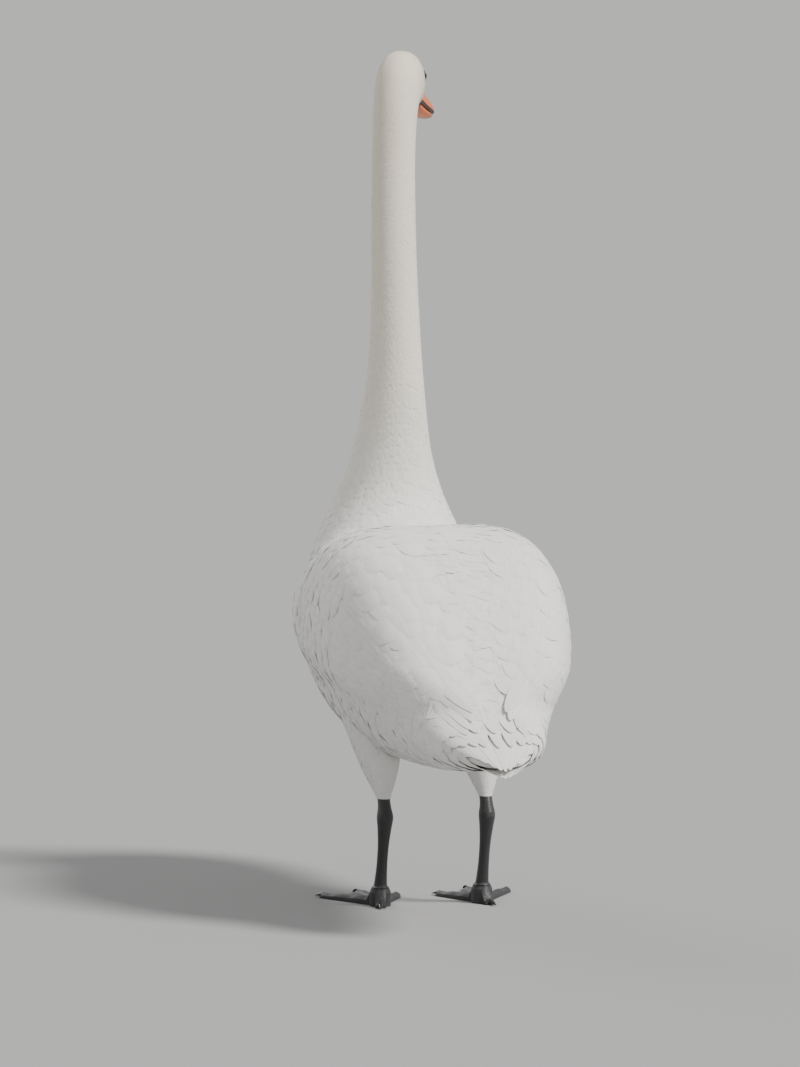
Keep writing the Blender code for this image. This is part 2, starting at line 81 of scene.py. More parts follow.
# The folded wing lies along the spine between two places. By the share of that length: the degrees round
# from the back of its upper and of its lower edge, and how far it stands off the trunk.
WING = (14.9, 24.75)
WING_RUN = WING[1] - WING[0]
WING_SHARE = (0.0, 0.08, 0.22, 0.42, 0.68, 0.84, 0.94, 1.0)
WING_TOP = (56.0, 30.0, 6.0, 0.0, 0.0, 0.0, 1.0, 6.0)
WING_LOW = (84.0, 98.0, 107.0, 110.0, 104.0, 86.0, 52.0, 20.0)
WING_RISE = (0.005, 0.012, 0.026, 0.036, 0.036, 0.036, 0.036, 0.032)
# Its rise at the upper and the lower edge as shares of the whole, the band across it where one passes into
# the other, the power of the swell between them and its rounding at the upper edge, and the fullness of the
# trunk's section there, with the share of the length at which that is reached.
WING_EDGES, WING_BAND, WING_SWELL, WING_ROUND = (0.62, 0.25), (0.35, 0.3), 0.6, 0.09
WING_FULL, WING_SQUARE = 3.8, 0.40
# How the wing fades into the body: in degrees at its edges, with more room at the lower edge towards the
# rear, and in shares of its length at the shoulder and at the tip. REAR and TIP_FADE are a place and a span.
UPPER_FADE, UPPER_CLOSED, UPPER_OPEN = 16, 14, 0.15
LOWER_FADE, LOWER_PAST, REAR_FADE, REAR_PAST, REAR = 30, 10, 34, 22, (0.74, 0.18)
SHOULDER_FADE, TIP_FADE = 0.24, (1.06, 0.17)

# The bill's halves, in the spine's measures, from base to tip.
BILL_UPPER = np.array((
    (-0.2670, 1.1570, -0.2570, 1.1228, 0.0166, 0.22, 2.3),
    (-0.2735, 1.1540, -0.2645, 1.1220, 0.0168, 0.22, 2.3),
    (-0.2880, 1.1465, -0.2810, 1.1180, 0.0165, 0.22, 2.3),
    (-0.3050, 1.1360, -0.3000, 1.1130, 0.0162, 0.24, 2.4),
    (-0.3220, 1.1270, -0.3190, 1.1085, 0.0165, 0.28, 2.6),
    (-0.3370, 1.1190, -0.3350, 1.1045, 0.0162, 0.32, 2.6),
    (-0.3470, 1.1120, -0.3455, 1.1010, 0.0135, 0.35, 2.4),
    (-0.3530, 1.1040, -0.3520, 1.0985, 0.0060, 0.40, 2.1),
))
BILL_LOWER = np.array((
    (-0.2570, 1.1222, -0.2550, 1.1160, 0.0148, 0.80, 2.2),
    (-0.2641, 1.1214, -0.2625, 1.1150, 0.0150, 0.80, 2.2),
    (-0.2808, 1.1174, -0.2785, 1.1085, 0.0148, 0.80, 2.2),
    (-0.2998, 1.1124, -0.2975, 1.1035, 0.0145, 0.80, 2.2),
    (-0.3188, 1.1079, -0.3170, 1.1000, 0.0145, 0.80, 2.2),
    (-0.3348, 1.1039, -0.3335, 1.0975, 0.0138, 0.80, 2.2),
    (-0.3450, 1.1004, -0.3440, 1.0955, 0.0110, 0.80, 2.1),
))
# The knob, and the eye: its place along the spine, degrees round from the back, radius and how far it shows.
KNOB_CENTRE, KNOB_RADII = np.array((0.0, -0.2800, 1.1570)), np.array((0.0105, 0.0120, 0.0115))
EYE_PLACE, EYE_ANGLE, EYE_RADIUS, EYE_PROUD = 2.05, 73.0, 0.0062, 0.0020

# The leg's rows from the top: y, z, half width, half depth. The thigh leaves the body in a flare that
# starts FILLET off the body, ends FILLET_SINK inside it, and follows the body over FILLET_REACH. It meets
# the body between two places along the spine.
LEG_X = 0.074
FILLET, FILLET_SINK, FILLET_REACH, FILLET_PLACES = 0.022, 0.0015, 0.011, (13.5, 24.0)
THIGH = (
    (0.000, 0.290, 0.040, 0.062),
    (0.024, 0.245, 0.038, 0.055),
    (0.050, 0.208, 0.030, 0.040),
    (0.068, 0.180, 0.020, 0.025),
    (0.078, 0.163, 0.0125, 0.0145),
    (0.0808, 0.1555, 0.0098, 0.0120),
)
SHANK = (
    (0.0745, 0.1760, 0.0080, 0.0090),
    (0.0785, 0.1615, 0.0088, 0.0105),
    (0.0865, 0.1450, 0.0092, 0.0120),
    (0.0900, 0.1300, 0.0115, 0.0150),
    (0.0865, 0.1130, 0.0098, 0.0125),
    (0.0790, 0.0880, 0.0078, 0.0100),
    (0.0700, 0.0580, 0.0076, 0.0098),
    (0.0620, 0.0330, 0.0090, 0.0108),
    (0.0600, 0.0263, 0.0100, 0.0115),
)

# Foot: toes as (degrees outward from straight ahead, length, half width, height at the knuckle).
FOOT_Y = 0.060
TOES = ((-27.0, 0.094, 0.0070, 0.0130), (3.0, 0.128, 0.0078, 0.0145), (31.0, 0.118, 0.0072, 0.0130))
HIND_TOE = (168.0, 0.030, 0.0060, 0.0125)
TOE_TAPER, TOE_SPREAD = 0.45, 1.25
WEB_THICK, WEB_NOTCH = 0.0034, 0.15
HEEL_RIM, TOE_SIDE = 0.0025, 0.0075
HUB_RADIUS, HUB_HEIGHT, HUB_SLOPE = 0.0125, 0.0260, 0.018
CLAW_LENGTH, CLAW_WIDTH, CLAW_HEIGHT, CLAW_CLEAR = 0.016, 0.0036, 0.0080, 0.0010
CLAW_TIP, CLAW_DROOP, CLAW_THIN, CLAW_ROOT = 0.03, 0.8, 0.6, 0.0015

# ---------------------------------------------------------------- surfaces


def ease(x):
    x = np.clip(x, 0.0, 1.0)
    return x * x * (3 - 2 * x)


def rising(x, start, span):
    """0 up to the start, 1 past the span, and smooth between."""
    return ease((x - start) / span)


def falling(x, end, span):
    """1 until the span before the end, 0 from the end, and smooth between."""
    return ease((end - x) / span)


def between(pair, share):
    return pair[0] + (pair[1] - pair[0]) * share


def mixed(one, other, share):
    return one * (1 - share) + other * share


def arc_length(points):
    """How far along a line of points each of them is."""
    return np.r_[0, np.cumsum(np.linalg.norm(np.diff(points, axis=0), axis=1))]


def ring_grid(along, steps):
    """Places along a piece and angles round it, closed, as two grids."""
    return np.meshgrid(along, np.linspace(0, math.tau, steps), indexing="ij")


def spline(rows, at):
    """Catmull-Rom values of the rows at places counted in rows."""
    rows = np.asarray(rows, float)
    last = len(rows) - 1
    at = np.clip(at, 0.0, last)
    i = np.minimum(at.astype(int), last - 1)
    t = (at - i)[..., None]
    a, b, c, d = rows[np.maximum(i - 1, 0)], rows[i], rows[i + 1], rows[np.minimum(i + 2, last)]
    return b + 0.5 * t * (c - a + t * (2 * a - 5 * b + 4 * c - d + t * (3 * (b - c) + d - a)))


def section(rows, angle):
    """Points of the sections at angles round from their back points towards +X."""
    back_y, back_z, belly_y, belly_z, half, level, full = np.moveaxis(rows, -1, 0)
    c, s = np.cos(angle), np.sin(angle)
    across = np.sign(s) * np.abs(s) ** (2 / full) * half
    up = np.abs(c) ** (2 / full)
    share = np.where(c >= 0, level + (1 - level) * up, level - level * up)
    return np.stack((across, belly_y + share * (back_y - belly_y), belly_z + share * (back_z - belly_z)), -1)


def turned(points, degrees):
    """Points turned about the upright axis in the neck."""
    r = np.radians(degrees)
    x, y, z = points[..., 0], points[..., 1] - TURN_AXIS_Y, points[..., 2]
    return np.stack((np.cos(r) * x - np.sin(r) * y, np.sin(r) * x + np.cos(r) * y + TURN_AXIS_Y, z), -1)


def turn_at(place):
    return HEAD_TURN * falling(place, TURN_NONE, TURN_NONE - TURN_FULL)


def to_row(points):
    """From the measures above to the row's frame."""
    return points - np.array((0.0, ORIGIN_Y, 0.0))


# The cosine of the sharpest angle that is reckoned with between a sheet's two directions.
MOST_SKEW = 0.85


class Sheet:
    """A smooth closed surface known on a grid of places along it, a, and angles round it, b."""

    def __init__(self, points, a, b):
        self.points, self.a, self.b = points, a, b
        ring = np.concatenate((points[:, -3:-1], points, points[:, 1:3]), axis=1)
        along, across = (way[:, 2:-2] for way in np.gradient(ring, axis=(0, 1)))
        long, wide = (np.maximum(np.linalg.norm(way, axis=-1), 1e-6) for way in (along, across))
        self.rate_a, self.rate_b = long / (a[1] - a[0]), wide / (b[1] - b[0])
        self.skew = np.clip((along * across).sum(axis=-1) / (long * wide), -MOST_SKEW, MOST_SKEW)
        normal = np.cross(across, along)
        self.normals = normal / np.maximum(np.linalg.norm(normal, axis=-1, keepdims=True), 1e-12)

    def read(self, table, a, b):
        """A table's values between its grid's points, by straight interpolation."""
        i = np.clip((a - self.a[0]) / (self.a[1] - self.a[0]), 0, len(self.a) - 1.001)
        j = (b - self.b[0]) / (self.b[1] - self.b[0]) % (len(self.b) - 1)
        i0, j0 = i.astype(int), j.astype(int)
        u, v = i - i0, j - j0
        if table.ndim == 3:
            u, v = u[..., None], v[..., None]
        low = table[i0, j0] * (1 - v) + table[i0, j0 + 1] * v
        high = table[i0 + 1, j0] * (1 - v) + table[i0 + 1, j0 + 1] * v
        return low * (1 - u) + high * u

    def at(self, a, b, lift=0.0):
        lift = np.broadcast_to(lift, np.shape(a))
        return self.read(self.points, a, b) + self.read(self.normals, a, b) * lift[..., None]

    def rates(self, a, b):
        return self.read(self.rate_a, a, b), self.read(self.rate_b, a, b)

    def heading(self, a, b, step_a, step_b):
        """The angle, from +a towards +b on the surface, of a small step."""
        skew, (rate_a, rate_b) = self.read(self.skew, a, b), self.rates(a, b)
        run_a, run_b = step_a * rate_a, step_b * rate_b
        return np.arctan2(run_b * np.sqrt(1 - skew ** 2), run_a + run_b * skew)

    def steps(self, a, b, heading):
        """The changes of a and of b for each metre along a heading."""
        skew, (rate_a, rate_b) = self.read(self.skew, a, b), self.rates(a, b)
        ahead, aside = np.cos(heading), np.sin(heading) / np.sqrt(1 - skew ** 2)
        return (ahead - aside * skew) / rate_a, aside / rate_b


def body_sheet():
    at, round_ = ring_grid(np.linspace(0.0, TAIL_END, 1400), 257)
    points = section(spline(SPINE, at), round_)
    return Sheet(to_row(turned(points, turn_at(at))), at[:, 0], round_[0])


def wing_share(place):
    return (place - WING[0]) / WING_RUN


def smooth_steps(share, table):
    """A table over WING_SHARE with its corners rounded off."""
    found = 0.0
    for shift, weight in ((-0.03, 0.25), (0.0, 0.5), (0.03, 0.25)):
        found = found + weight * np.interp(np.clip(share + shift, 0, 1), WING_SHARE, table)
    return found


def wing_points(share, across):
    """The left wing's outer face, by the share of its length and of the way down to its lower edge."""
    rows = spline(SPINE, between(WING, share))
    top, low, rise = (smooth_steps(share, table) for table in (WING_TOP, WING_LOW, WING_RISE))
    edge = between(WING_EDGES, np.clip((across - WING_BAND[0]) / WING_BAND[1], 0, 1))
    inward = np.minimum(np.hypot(across, WING_ROUND), 1)
    swell = edge + (1 - edge) * np.sin(math.pi * inward) ** WING_SWELL
    level, full = rows[..., 5], rows[..., 6]
    full = full + (WING_FULL - full) * (1 - across) * np.minimum(share / WING_SQUARE, 1)
    squared = np.concatenate((rows[..., :6], full[..., None]), -1)
    on_trunk = section(squared, np.radians(between((top, low), across)))
    middle = np.stack((
        np.zeros_like(level),
        rows[..., 2] + level * (rows[..., 0] - rows[..., 2]),
        rows[..., 3] + level * (rows[..., 1] - rows[..., 3]),
    ), -1)
    outward = on_trunk - middle
    outward /= np.linalg.norm(outward, axis=-1, keepdims=True)
    return to_row(on_trunk + outward * (rise * swell)[..., None])


def envelope_sheet():
    """The body with the folded wings blended into it, which the plumage lies on."""
    at, round_ = np.meshgrid(BODY.a, BODY.b, indexing="ij")
    left = np.degrees(round_) <= 180
    degrees = np.where(left, np.degrees(round_), 360 - np.degrees(round_))
    share = wing_share(at)
    top, low = smooth_steps(share, WING_TOP), smooth_steps(share, WING_LOW)
    meeting = np.where(share > 0.5, 1, between((UPPER_OPEN, 1), np.clip(1 - top / UPPER_CLOSED, 0, 1)))
    rear = rising(share, *REAR)
    weight = ease((degrees - top) / UPPER_FADE + meeting)
    weight = weight * falling(degrees, low + LOWER_PAST + REAR_PAST * rear, LOWER_FADE + REAR_FADE * rear)
    weight = weight * rising(share, 0, SHOULDER_FADE) * falling(share, *TIP_FADE)
    share, across = np.clip(share, 0, 1), np.clip((degrees - top) / np.maximum(low - top, 1), 0, 1)
    under = spline(SPINE, between(WING, share))
    offset = wing_points(share, across) - to_row(section(under, np.radians(between((top, low), across))))
    offset = np.where(left[..., None], offset, offset * (-1, 1, 1))
    points = BODY.points + weight[..., None] * offset
    points[:, -1] = points[:, 0]
    return Sheet(points, BODY.a, BODY.b)


def leg_points(y, z, half, deep, round_):
    return np.stack((LEG_X + half * np.sin(round_), y + deep * np.cos(round_), z), -1)


def thigh_sheet():
    """The left thigh, leaving the body in a smooth flare."""
    at, round_ = ring_grid(np.linspace(0, len(THIGH) - 1, 60), 65)
    points = to_row(leg_points(*np.moveaxis(spline(THIGH, at), -1, 0), round_))
    near = (COVER.a > FILLET_PLACES[0]) & (COVER.a < FILLET_PLACES[1])
    left = slice(0, len(COVER.b) // 2 + 2, 3)
    body, normals = (table[near][::8, left].reshape(-1, 3) for table in (COVER.points, COVER.normals))
    flat = points.reshape(-1, 3)
    gap = (flat ** 2).sum(axis=1)[:, None] + (body ** 2).sum(axis=1) - 2 * flat @ body.T
    weight = np.exp(-(gap - gap.min(axis=1, keepdims=True)) / FILLET_REACH ** 2)
    weight /= weight.sum(axis=1, keepdims=True)
    base, way = weight @ body, weight @ normals
    way /= np.linalg.norm(way, axis=1, keepdims=True)
    out = ((flat - base) * way).sum(axis=1)
    flare = (FILLET + FILLET_SINK) * np.clip((out + FILLET) / (2 * FILLET), 0, 1) ** 2 - FILLET_SINK
    flare = np.where(out < FILLET, flare + np.minimum(out + FILLET, 0), out)
    points = (flat + (flare - out)[:, None] * way).reshape(points.shape)
    points[:, -1] = points[:, 0]
    return Sheet(points, at[:, 0], round_[0])


BODY = body_sheet()
COVER = envelope_sheet()
THIGH_SKIN = thigh_sheet()

# ---------------------------------------------------------------- meshes


def placed(name, data):
    obj = bpy.data.objects.new(name, data)
    bpy.context.scene.collection.objects.link(obj)
    return obj


def link(name, mesh, replaced=()):
    obj = placed(name, mesh)
    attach(obj, "root")
    if replaced:
        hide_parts(*replaced)
    return obj


def raw_mesh(name, points, faces, smooth, colour, maps, material):
    """A mesh of equal-sized faces, with its tint by vertex and its maps by vertex."""
    sides = faces.shape[1]
    mesh = bpy.data.meshes.new(name)
    mesh.vertices.add(len(points))
    mesh.vertices.foreach_set("co", points.astype(np.float32).ravel())
    mesh.loops.add(faces.size)
    mesh.loops.foreach_set("vertex_index", faces.astype(np.int32).ravel())
    mesh.polygons.add(len(faces))
    mesh.polygons.foreach_set("loop_start", np.arange(0, faces.size, sides, dtype=np.int32))
    mesh.update(calc_edges=True)
    mesh.polygons.foreach_set("use_smooth", smooth)
    if not smooth.all():
        edges = np.empty(faces.size, np.int32)
        mesh.loops.foreach_get("edge_index", edges)
        sharp = np.zeros(len(mesh.edges), bool)
        sharp[edges.reshape(-1, sides)[~smooth]] = True
        mesh.attributes.new("sharp_edge", "BOOLEAN", "EDGE").data.foreach_set("value", sharp)
    layer = mesh.color_attributes.new("tint", "FLOAT_COLOR", "POINT")
    layer.data.foreach_set("color", np.c_[colour, np.ones(len(colour))].astype(np.float32).ravel())
    for title, values in maps:
        uv = mesh.uv_layers.new(name=title)
        uv.uv.foreach_set("vector", values[faces.ravel()].astype(np.float32).ravel())
    mesh.materials.append(material)
    return mesh


class Coat:
    """Triangles gathered from many vanes, with their colour, the vane's own map and the bake's map."""

    def __init__(self):
        self.parts, self.count = [], 0

    def add(self, points, faces, smooth, colour, vane, bake):
        self.parts.append((points, faces + self.count, smooth, colour, vane, bake))
        self.count += len(points)

    def build(self, name, material, mirror=False):
        points, faces, smooth, colour, vane, bake = (np.concatenate(x) for x in zip(*self.parts))
        if mirror:
            points, faces = points * (-1, 1, 1), faces[:, ::-1]
        maps = (("OFBake", bake), ("vane", vane))
        return link(name, raw_mesh(name, points, faces, smooth, colour, maps, material))


def vane_faces(sections, columns):
    """Triangles of one closed vane: its curved upper face, its flat under face and both ends."""
    upper, under = [], []
    for k in range(sections - 1):
        row, after = k * columns, (k + 1) * columns
        for c in range(columns - 1):
            upper += [(row + c, row + c + 1, after + c + 1), (row + c, after + c + 1, after + c)]
        left, right = columns - 1, 0
        under += [(row + left, row + right, after + right), (row + left, after + right, after + left)]
    end = (sections - 1) * columns
    for c in range(1, columns - 1):
        under += [(0, c + 1, c), (end, end + c, end + c + 1)]
    faces = np.array(upper + under)
    return faces, np.arange(len(faces)) < len(upper)


# Shapes of a vane: places along it, and its width at each of them as a share of the widest.
DOWNY = ((0.0, 0.4, 0.8, 1.0), (0.5, 1.0, 0.86, 0.26))
MIDDLE = ((0.0, 0.3, 0.65, 0.88, 1.0), (0.4, 0.88, 1.0, 0.75, 0.2))
ROUND = ((0.0, 0.3, 0.6, 0.82, 0.94, 1.0), (0.35, 0.82, 1.0, 0.86, 0.55, 0.16))
LONG = (
    (0.0, 0.12, 0.25, 0.4, 0.55, 0.68, 0.79, 0.88, 0.94, 0.98, 1.0),
    (0.3, 0.62, 0.84, 0.96, 1.0, 0.99, 0.94, 0.82, 0.64, 0.38, 0.14),
)
POINTED = (
    (0.0, 0.12, 0.25, 0.4, 0.55, 0.68, 0.79, 0.88, 0.94, 0.98, 1.0),
    (0.4, 0.75, 0.95, 1.0, 0.96, 0.86, 0.72, 0.54, 0.38, 0.22, 0.08),
)
# The side of a vane's patch on the bake's map.
PATCH = 0.003


def lay(coat, sheet, a, b, length, width, turn, root, tip, shape, rng, colour, bake, columns=3, ridge=0.03,
        hug=0.10, twist=0.03, bend=0.0):
    """Vanes on a sheet, from their roots at (a, b) along +a turned towards +b, and bending on the way. Root
    and tip are their lifts off the sheet, and hug is the share of the rise that the end comes down again.
    Ridge and twist are the height of the crown and the lean, as shares of the half width."""
    along, widths = (np.array(x) for x in shape)
    n, m = len(a), len(along)
    length, width, turn, root, tip, bend = (
        np.broadcast_to(np.asarray(x, float), (n,)) for x in (length, width, turn, root, tip, bend))
    at_a, at_b = np.empty((n, m)), np.empty((n, m))
    heading = turn[:, None] + bend[:, None] * along
    at_a[:, 0], at_b[:, 0] = a, b
    for k in range(1, m):
        step = (along[k] - along[k - 1]) * length
        ahead_a, ahead_b = sheet.steps(at_a[:, k - 1], at_b[:, k - 1], heading[:, k])
        at_a[:, k], at_b[:, k] = at_a[:, k - 1] + step * ahead_a, at_b[:, k - 1] + step * ahead_b
    sides = np.linspace(-1, 1, columns)
    half = width[:, None] * widths / 2
    off = half[:, :, None] * sides
    beside_a, beside_b = sheet.steps(at_a, at_b, heading + math.pi / 2)
    place_a = at_a[:, :, None] + off * beside_a[:, :, None]
    place_b = at_b[:, :, None] + off * beside_b[:, :, None]
    rise = root[:, None] + (tip - root)[:, None] * (along - hug * np.clip((along - 0.7) / 0.3, 0, 1) ** 2)
    crown = ridge * half[:, :, None] * (1 - np.abs(sides) ** 1.7)
    lean = rng.normal(size=(n, 1, 1)) * twist * half[:, :, None] * sides * along[:, None]
    points = sheet.at(place_a, place_b, rise[:, :, None] + crown + lean).reshape(-1, 3)
    one, smooth = vane_faces(m, columns)
    faces = (one[None] + (np.arange(n) * m * columns)[:, None, None]).reshape(-1, 3)
    vane = np.stack(np.broadcast_arrays(
        sides * width[:, None, None] / 2, along[None, :, None] * length[:, None, None]), -1).reshape(-1, 2)
    spread = np.stack(np.broadcast_arrays(sides / 2, along[:, None] - 0.5), -1) * PATCH
    patch = (bake[:, None, None, :] + spread).reshape(-1, 2)
    coat.add(points, faces, np.tile(smooth, n), np.repeat(colour, m * columns, axis=0), vane, patch)


# ---------------------------------------------------------------- materials


class Look:
    """A material with its nodes."""

    def __init__(self, name, colour, rough, **more):
        self.made = bpy.data.materials.new(name)
        self.made.use_nodes = True
        self.shader = self.made.node_tree.nodes["Principled BSDF"]
        self.fill(self.shader, {"Base Color": (*colour, 1), "Roughness": rough})
        self.fill(self.shader, {title.replace("_", " "): value for title, value in more.items()})

    def fill(self, node, inputs):
        """Sets a node's inputs to values, or links them to other nodes' outputs."""
        for title, value in inputs.items():
            if isinstance(value, (int, float, tuple)):
                node.inputs[title].default_value = value
            else:
                self.made.node_tree.links.new(value, node.inputs[title])

    def node(self, kind, inputs, **settings):
        made = self.made.node_tree.nodes.new("ShaderNode" + kind)
        for title, value in settings.items():
            setattr(made, title, value)
        self.fill(made, inputs)
        return made.outputs

    def calculate(self, operation, *values):
        return self.node("Math", dict(enumerate(values)), operation=operation)[0]

    def tint(self):
        return self.node("VertexColor", {}, layer_name="tint")[0]

    def relief(self, height, distance):
        self.fill(self.shader, {"Normal": self.node("Bump", {"Distance": distance, "Height": height})[0]})


# Barbs: their gap along the vane, and how far one runs forward for each metre out. Their streaks: how fine
# they are along and across the vane, and how dark and light they get. The relief: shaft and barbs.
BARB_GAP, BARB_SLANT, SHAFT_HALF = 0.0011, -1.5, 0.00035
STREAK_FINE, STREAK_SHADES = (700.0, 60.0), (0.90, 1.08)
SHAFT_HIGH, BARB_HIGH = 3.0, 0.5


def plumage_material(name, distance):
    """Feathers: the tint of their place, with a shaft and fine barbs running out and forward from it."""
    look = Look(name, WHITE, 0.75, Sheen_Weight=0.2, Sheen_Roughness=0.4)
    place = look.node("SeparateXYZ", {0: look.node("UVMap", {}, uv_map="vane")[0]})
    side = look.calculate("ABSOLUTE", place[0])
    slant = look.calculate("MULTIPLY_ADD", side, BARB_SLANT, place[1])
    wave = look.calculate("SINE", look.calculate("MULTIPLY", slant, math.tau / BARB_GAP))
    shaft = look.calculate("LESS_THAN", side, SHAFT_HALF)
    fine = (look.calculate("MULTIPLY", x, scale) for x, scale in zip((slant, side), STREAK_FINE))
    where = look.node("CombineXYZ", dict(enumerate(fine)))[0]
    streaks = look.node("TexNoise", {"Vector": where})[0]
    dark, light = STREAK_SHADES
    shade = look.node("MapRange", {"To Min": dark, "To Max": light, "Value": streaks})[0]
    colour = look.node("VectorMath", {0: look.tint(), "Scale": shade}, operation="SCALE")[0]
    look.fill(look.shader, {"Base Color": colour})
    barbs = look.calculate("MULTIPLY", wave, BARB_HIGH)
    look.relief(look.calculate("MULTIPLY_ADD", shaft, SHAFT_HIGH, barbs), distance)
    return look.made


# How far in from its edges a cell rises, before its flat top.
CELL_TOP = 0.12


def surface_material(name, rough, scale, distance, cells=False, **more):
    """A surface coloured by its tint, with noise or cells in relief."""
    look = Look(name, (0.5, 0.5, 0.5), rough, **more)
    look.fill(look.shader, {"Base Color": look.tint()})
    inputs = {"Scale": scale, "Vector": look.node("TexCoord", {}).get("Object")}
    if cells:
        edges = look.node("TexVoronoi", inputs, feature="DISTANCE_TO_EDGE")[0]
        height = look.calculate("MINIMUM", edges, CELL_TOP)
    else:
        height = look.node("TexNoise", {**inputs, "Detail": 4.0})[0]
    look.relief(height, distance)
    return look.made


WHITE = np.array((0.88, 0.87, 0.845))
CREAM = np.array((0.85, 0.75, 0.57))
BARE = np.array((0.015, 0.013, 0.013))
ORANGE = np.array((0.78, 0.165, 0.024))
LEG_GREY = np.array((0.030, 0.030, 0.031))
PLUMAGE = plumage_material("plumage", 0.00008)
SOFT = plumage_material("soft", 0.00004)
DOWN = plumage_material("down", 0.00002)
SKIN = surface_material("skin", 0.6, 900.0, 0.0002)
BILL = surface_material("bill", 0.38, 700.0, 0.00012, Coat_Weight=0.15, Coat_Roughness=0.3)
KNOB = surface_material("knob", 0.42, 420.0, 0.0005)
LEG = surface_material("leg", 0.42, 420.0, 0.0020, cells=True)
CLAW = surface_material("claw", 0.3, 300.0, 0.0001)
EYE = surface_material("eye", 0.06, 60.0, 0.0, Specular_IOR_Level=0.35)

# How creamy the plumage is along the spine, and how bright it may get.
CREAMY = ((0.0, 3.0, 7.0, 11.0, 13.5, 15.5), (0.85, 0.82, 0.70, 0.48, 0.20, 0.0))
BRIGHTEST = 0.9


def plumage(place, rng=None):
    """Colour of the plumage by the place along the spine: creamy on the head and neck, white behind."""
    share = np.interp(place, *CREAMY)[..., None]
    found = mixed(WHITE, CREAM, share)
    if rng is not None:
        found = found * (1 + rng.normal(size=share.shape) * 0.02)
    return np.clip(found, 0, BRIGHTEST)


def whites(n, rng):
    return np.clip(WHITE * (1 + rng.normal(size=(n, 1)) * 0.015), 0, BRIGHTEST)


# ---------------------------------------------------------------- face

# Half width and half height of the opening between the lids and of their rim, and the radius of the bare
# skin round an eye. Across the eyeball, as (start, span) of the angle from its front: pupil, and painted
# shade darkening the eyeball's rim where it goes under the lids.
LID_OPEN, LID_WIDE, EYE_BARE = (0.0050, 0.0043), (0.0080, 0.0071), 0.0074
PUPIL, PAINTED_RIM_SHADE = (0.36, 0.06), (0.8, 0.2)
BROWN, BLACK = np.array((0.035, 0.016, 0.008)), np.array((0.002, 0.002, 0.002))
LOOK_AHEAD = (0.0, -0.94, -0.34)


def turn_head(points):
    return to_row(turned(points, HEAD_TURN))


def eye_frame(side):
    """Centre of an eyeball, and the directions out of the face, forward and up, before the head's turn."""
    row = spline(SPINE, np.array([EYE_PLACE]))
    on_face = section(row, np.array([math.radians(EYE_ANGLE) * side]))[0]
    outward = on_face - ((0.0, (row[0, 0] + row[0, 2]) / 2, (row[0, 1] + row[0, 3]) / 2))
    outward /= np.linalg.norm(outward)
    ahead = np.array(LOOK_AHEAD)
    ahead -= outward * (ahead @ outward)
    ahead /= np.linalg.norm(ahead)
    up = np.cross(outward, ahead) * side
    return on_face - outward * (EYE_RADIUS - EYE_PROUD), outward, ahead, up * np.sign(up[2])


EYE_FRAMES = {1: eye_frame(1), -1: eye_frame(-1)}


def eye_reach(points):
    """Distance of points from the line out of the nearer eye."""
    found = np.ones(points.shape[:-1])
    for centre, outward, _, _ in EYE_FRAMES.values():
        middle = turn_head(centre)
        way = turn_head(centre + outward) - middle
        apart = points - middle
        out = apart @ way
        aside = np.linalg.norm(apart - out[..., None] * way, axis=-1)
        found = np.where(out > 0, np.minimum(found, aside), found)
    return found


def grid_faces(rows, columns):
    base = (np.arange(rows - 1)[:, None] * columns + np.arange(columns - 1)).ravel()
    return np.stack((base, base + 1, base + columns + 1, base + columns), -1)


def shell(name, points, tint, material, replaced, flip=False):
    """A smooth piece from a grid of points, its seam in the last column."""
    rows, columns = points.shape[:2]
    faces = grid_faces(rows, columns)
    if flip:
        faces = faces[:, ::-1]
    u, v = np.meshgrid(np.linspace(0.01, 0.99, rows), np.linspace(0.01, 0.99, columns), indexing="ij")
    maps = (("OFBake", np.stack((v, u), -1).reshape(-1, 2)),)
    colour = np.broadcast_to(tint, points.shape).reshape(-1, 3)
    mesh = raw_mesh(name, points.reshape(-1, 3), faces, np.ones(len(faces), bool), colour, maps, material)
    return link(name, mesh, replaced)


def capped(points, tint):
    """Both ends closed, by a row drawn together in the middle of the first and of the last ring."""
    first, last = (np.repeat(ring.mean(axis=1, keepdims=True), points.shape[1], 1)
                   for ring in (points[:1], points[-1:]))
    return np.concatenate((first, points, last)), np.concatenate((tint[:1], tint, tint[-1:]))


def eyeball(side, name):
    centre, outward, ahead, up = EYE_FRAMES[side]
    polar, round_ = ring_grid(np.linspace(0.001, math.pi, 40), 49)
    out, across = np.cos(polar), np.sin(polar)
    bulge = 1 + 0.03 * np.exp(-((polar / 0.5) ** 2))
    points = centre + EYE_RADIUS * bulge[..., None] * (
        out[..., None] * outward
        + (across * np.cos(round_))[..., None] * ahead
        + (across * np.sin(round_))[..., None] * up
    )
    tint = mixed(BLACK, BROWN, rising(polar, *PUPIL)[..., None])
    # painted shade: the eyeball darkened by up to 0.8 towards its rim, where it goes under the lids
    tint = tint * (1 - rising(polar, *PAINTED_RIM_SHADE)[..., None] * 0.8)
    shell(name + "_ball", turn_head(points), tint, EYE, (name,), flip=side < 0)


def curved(x, y):
    """The terms of a surface of the second degree."""
    return np.stack((np.ones(x.shape), x, y, x * x, x * y, y * y), -1)


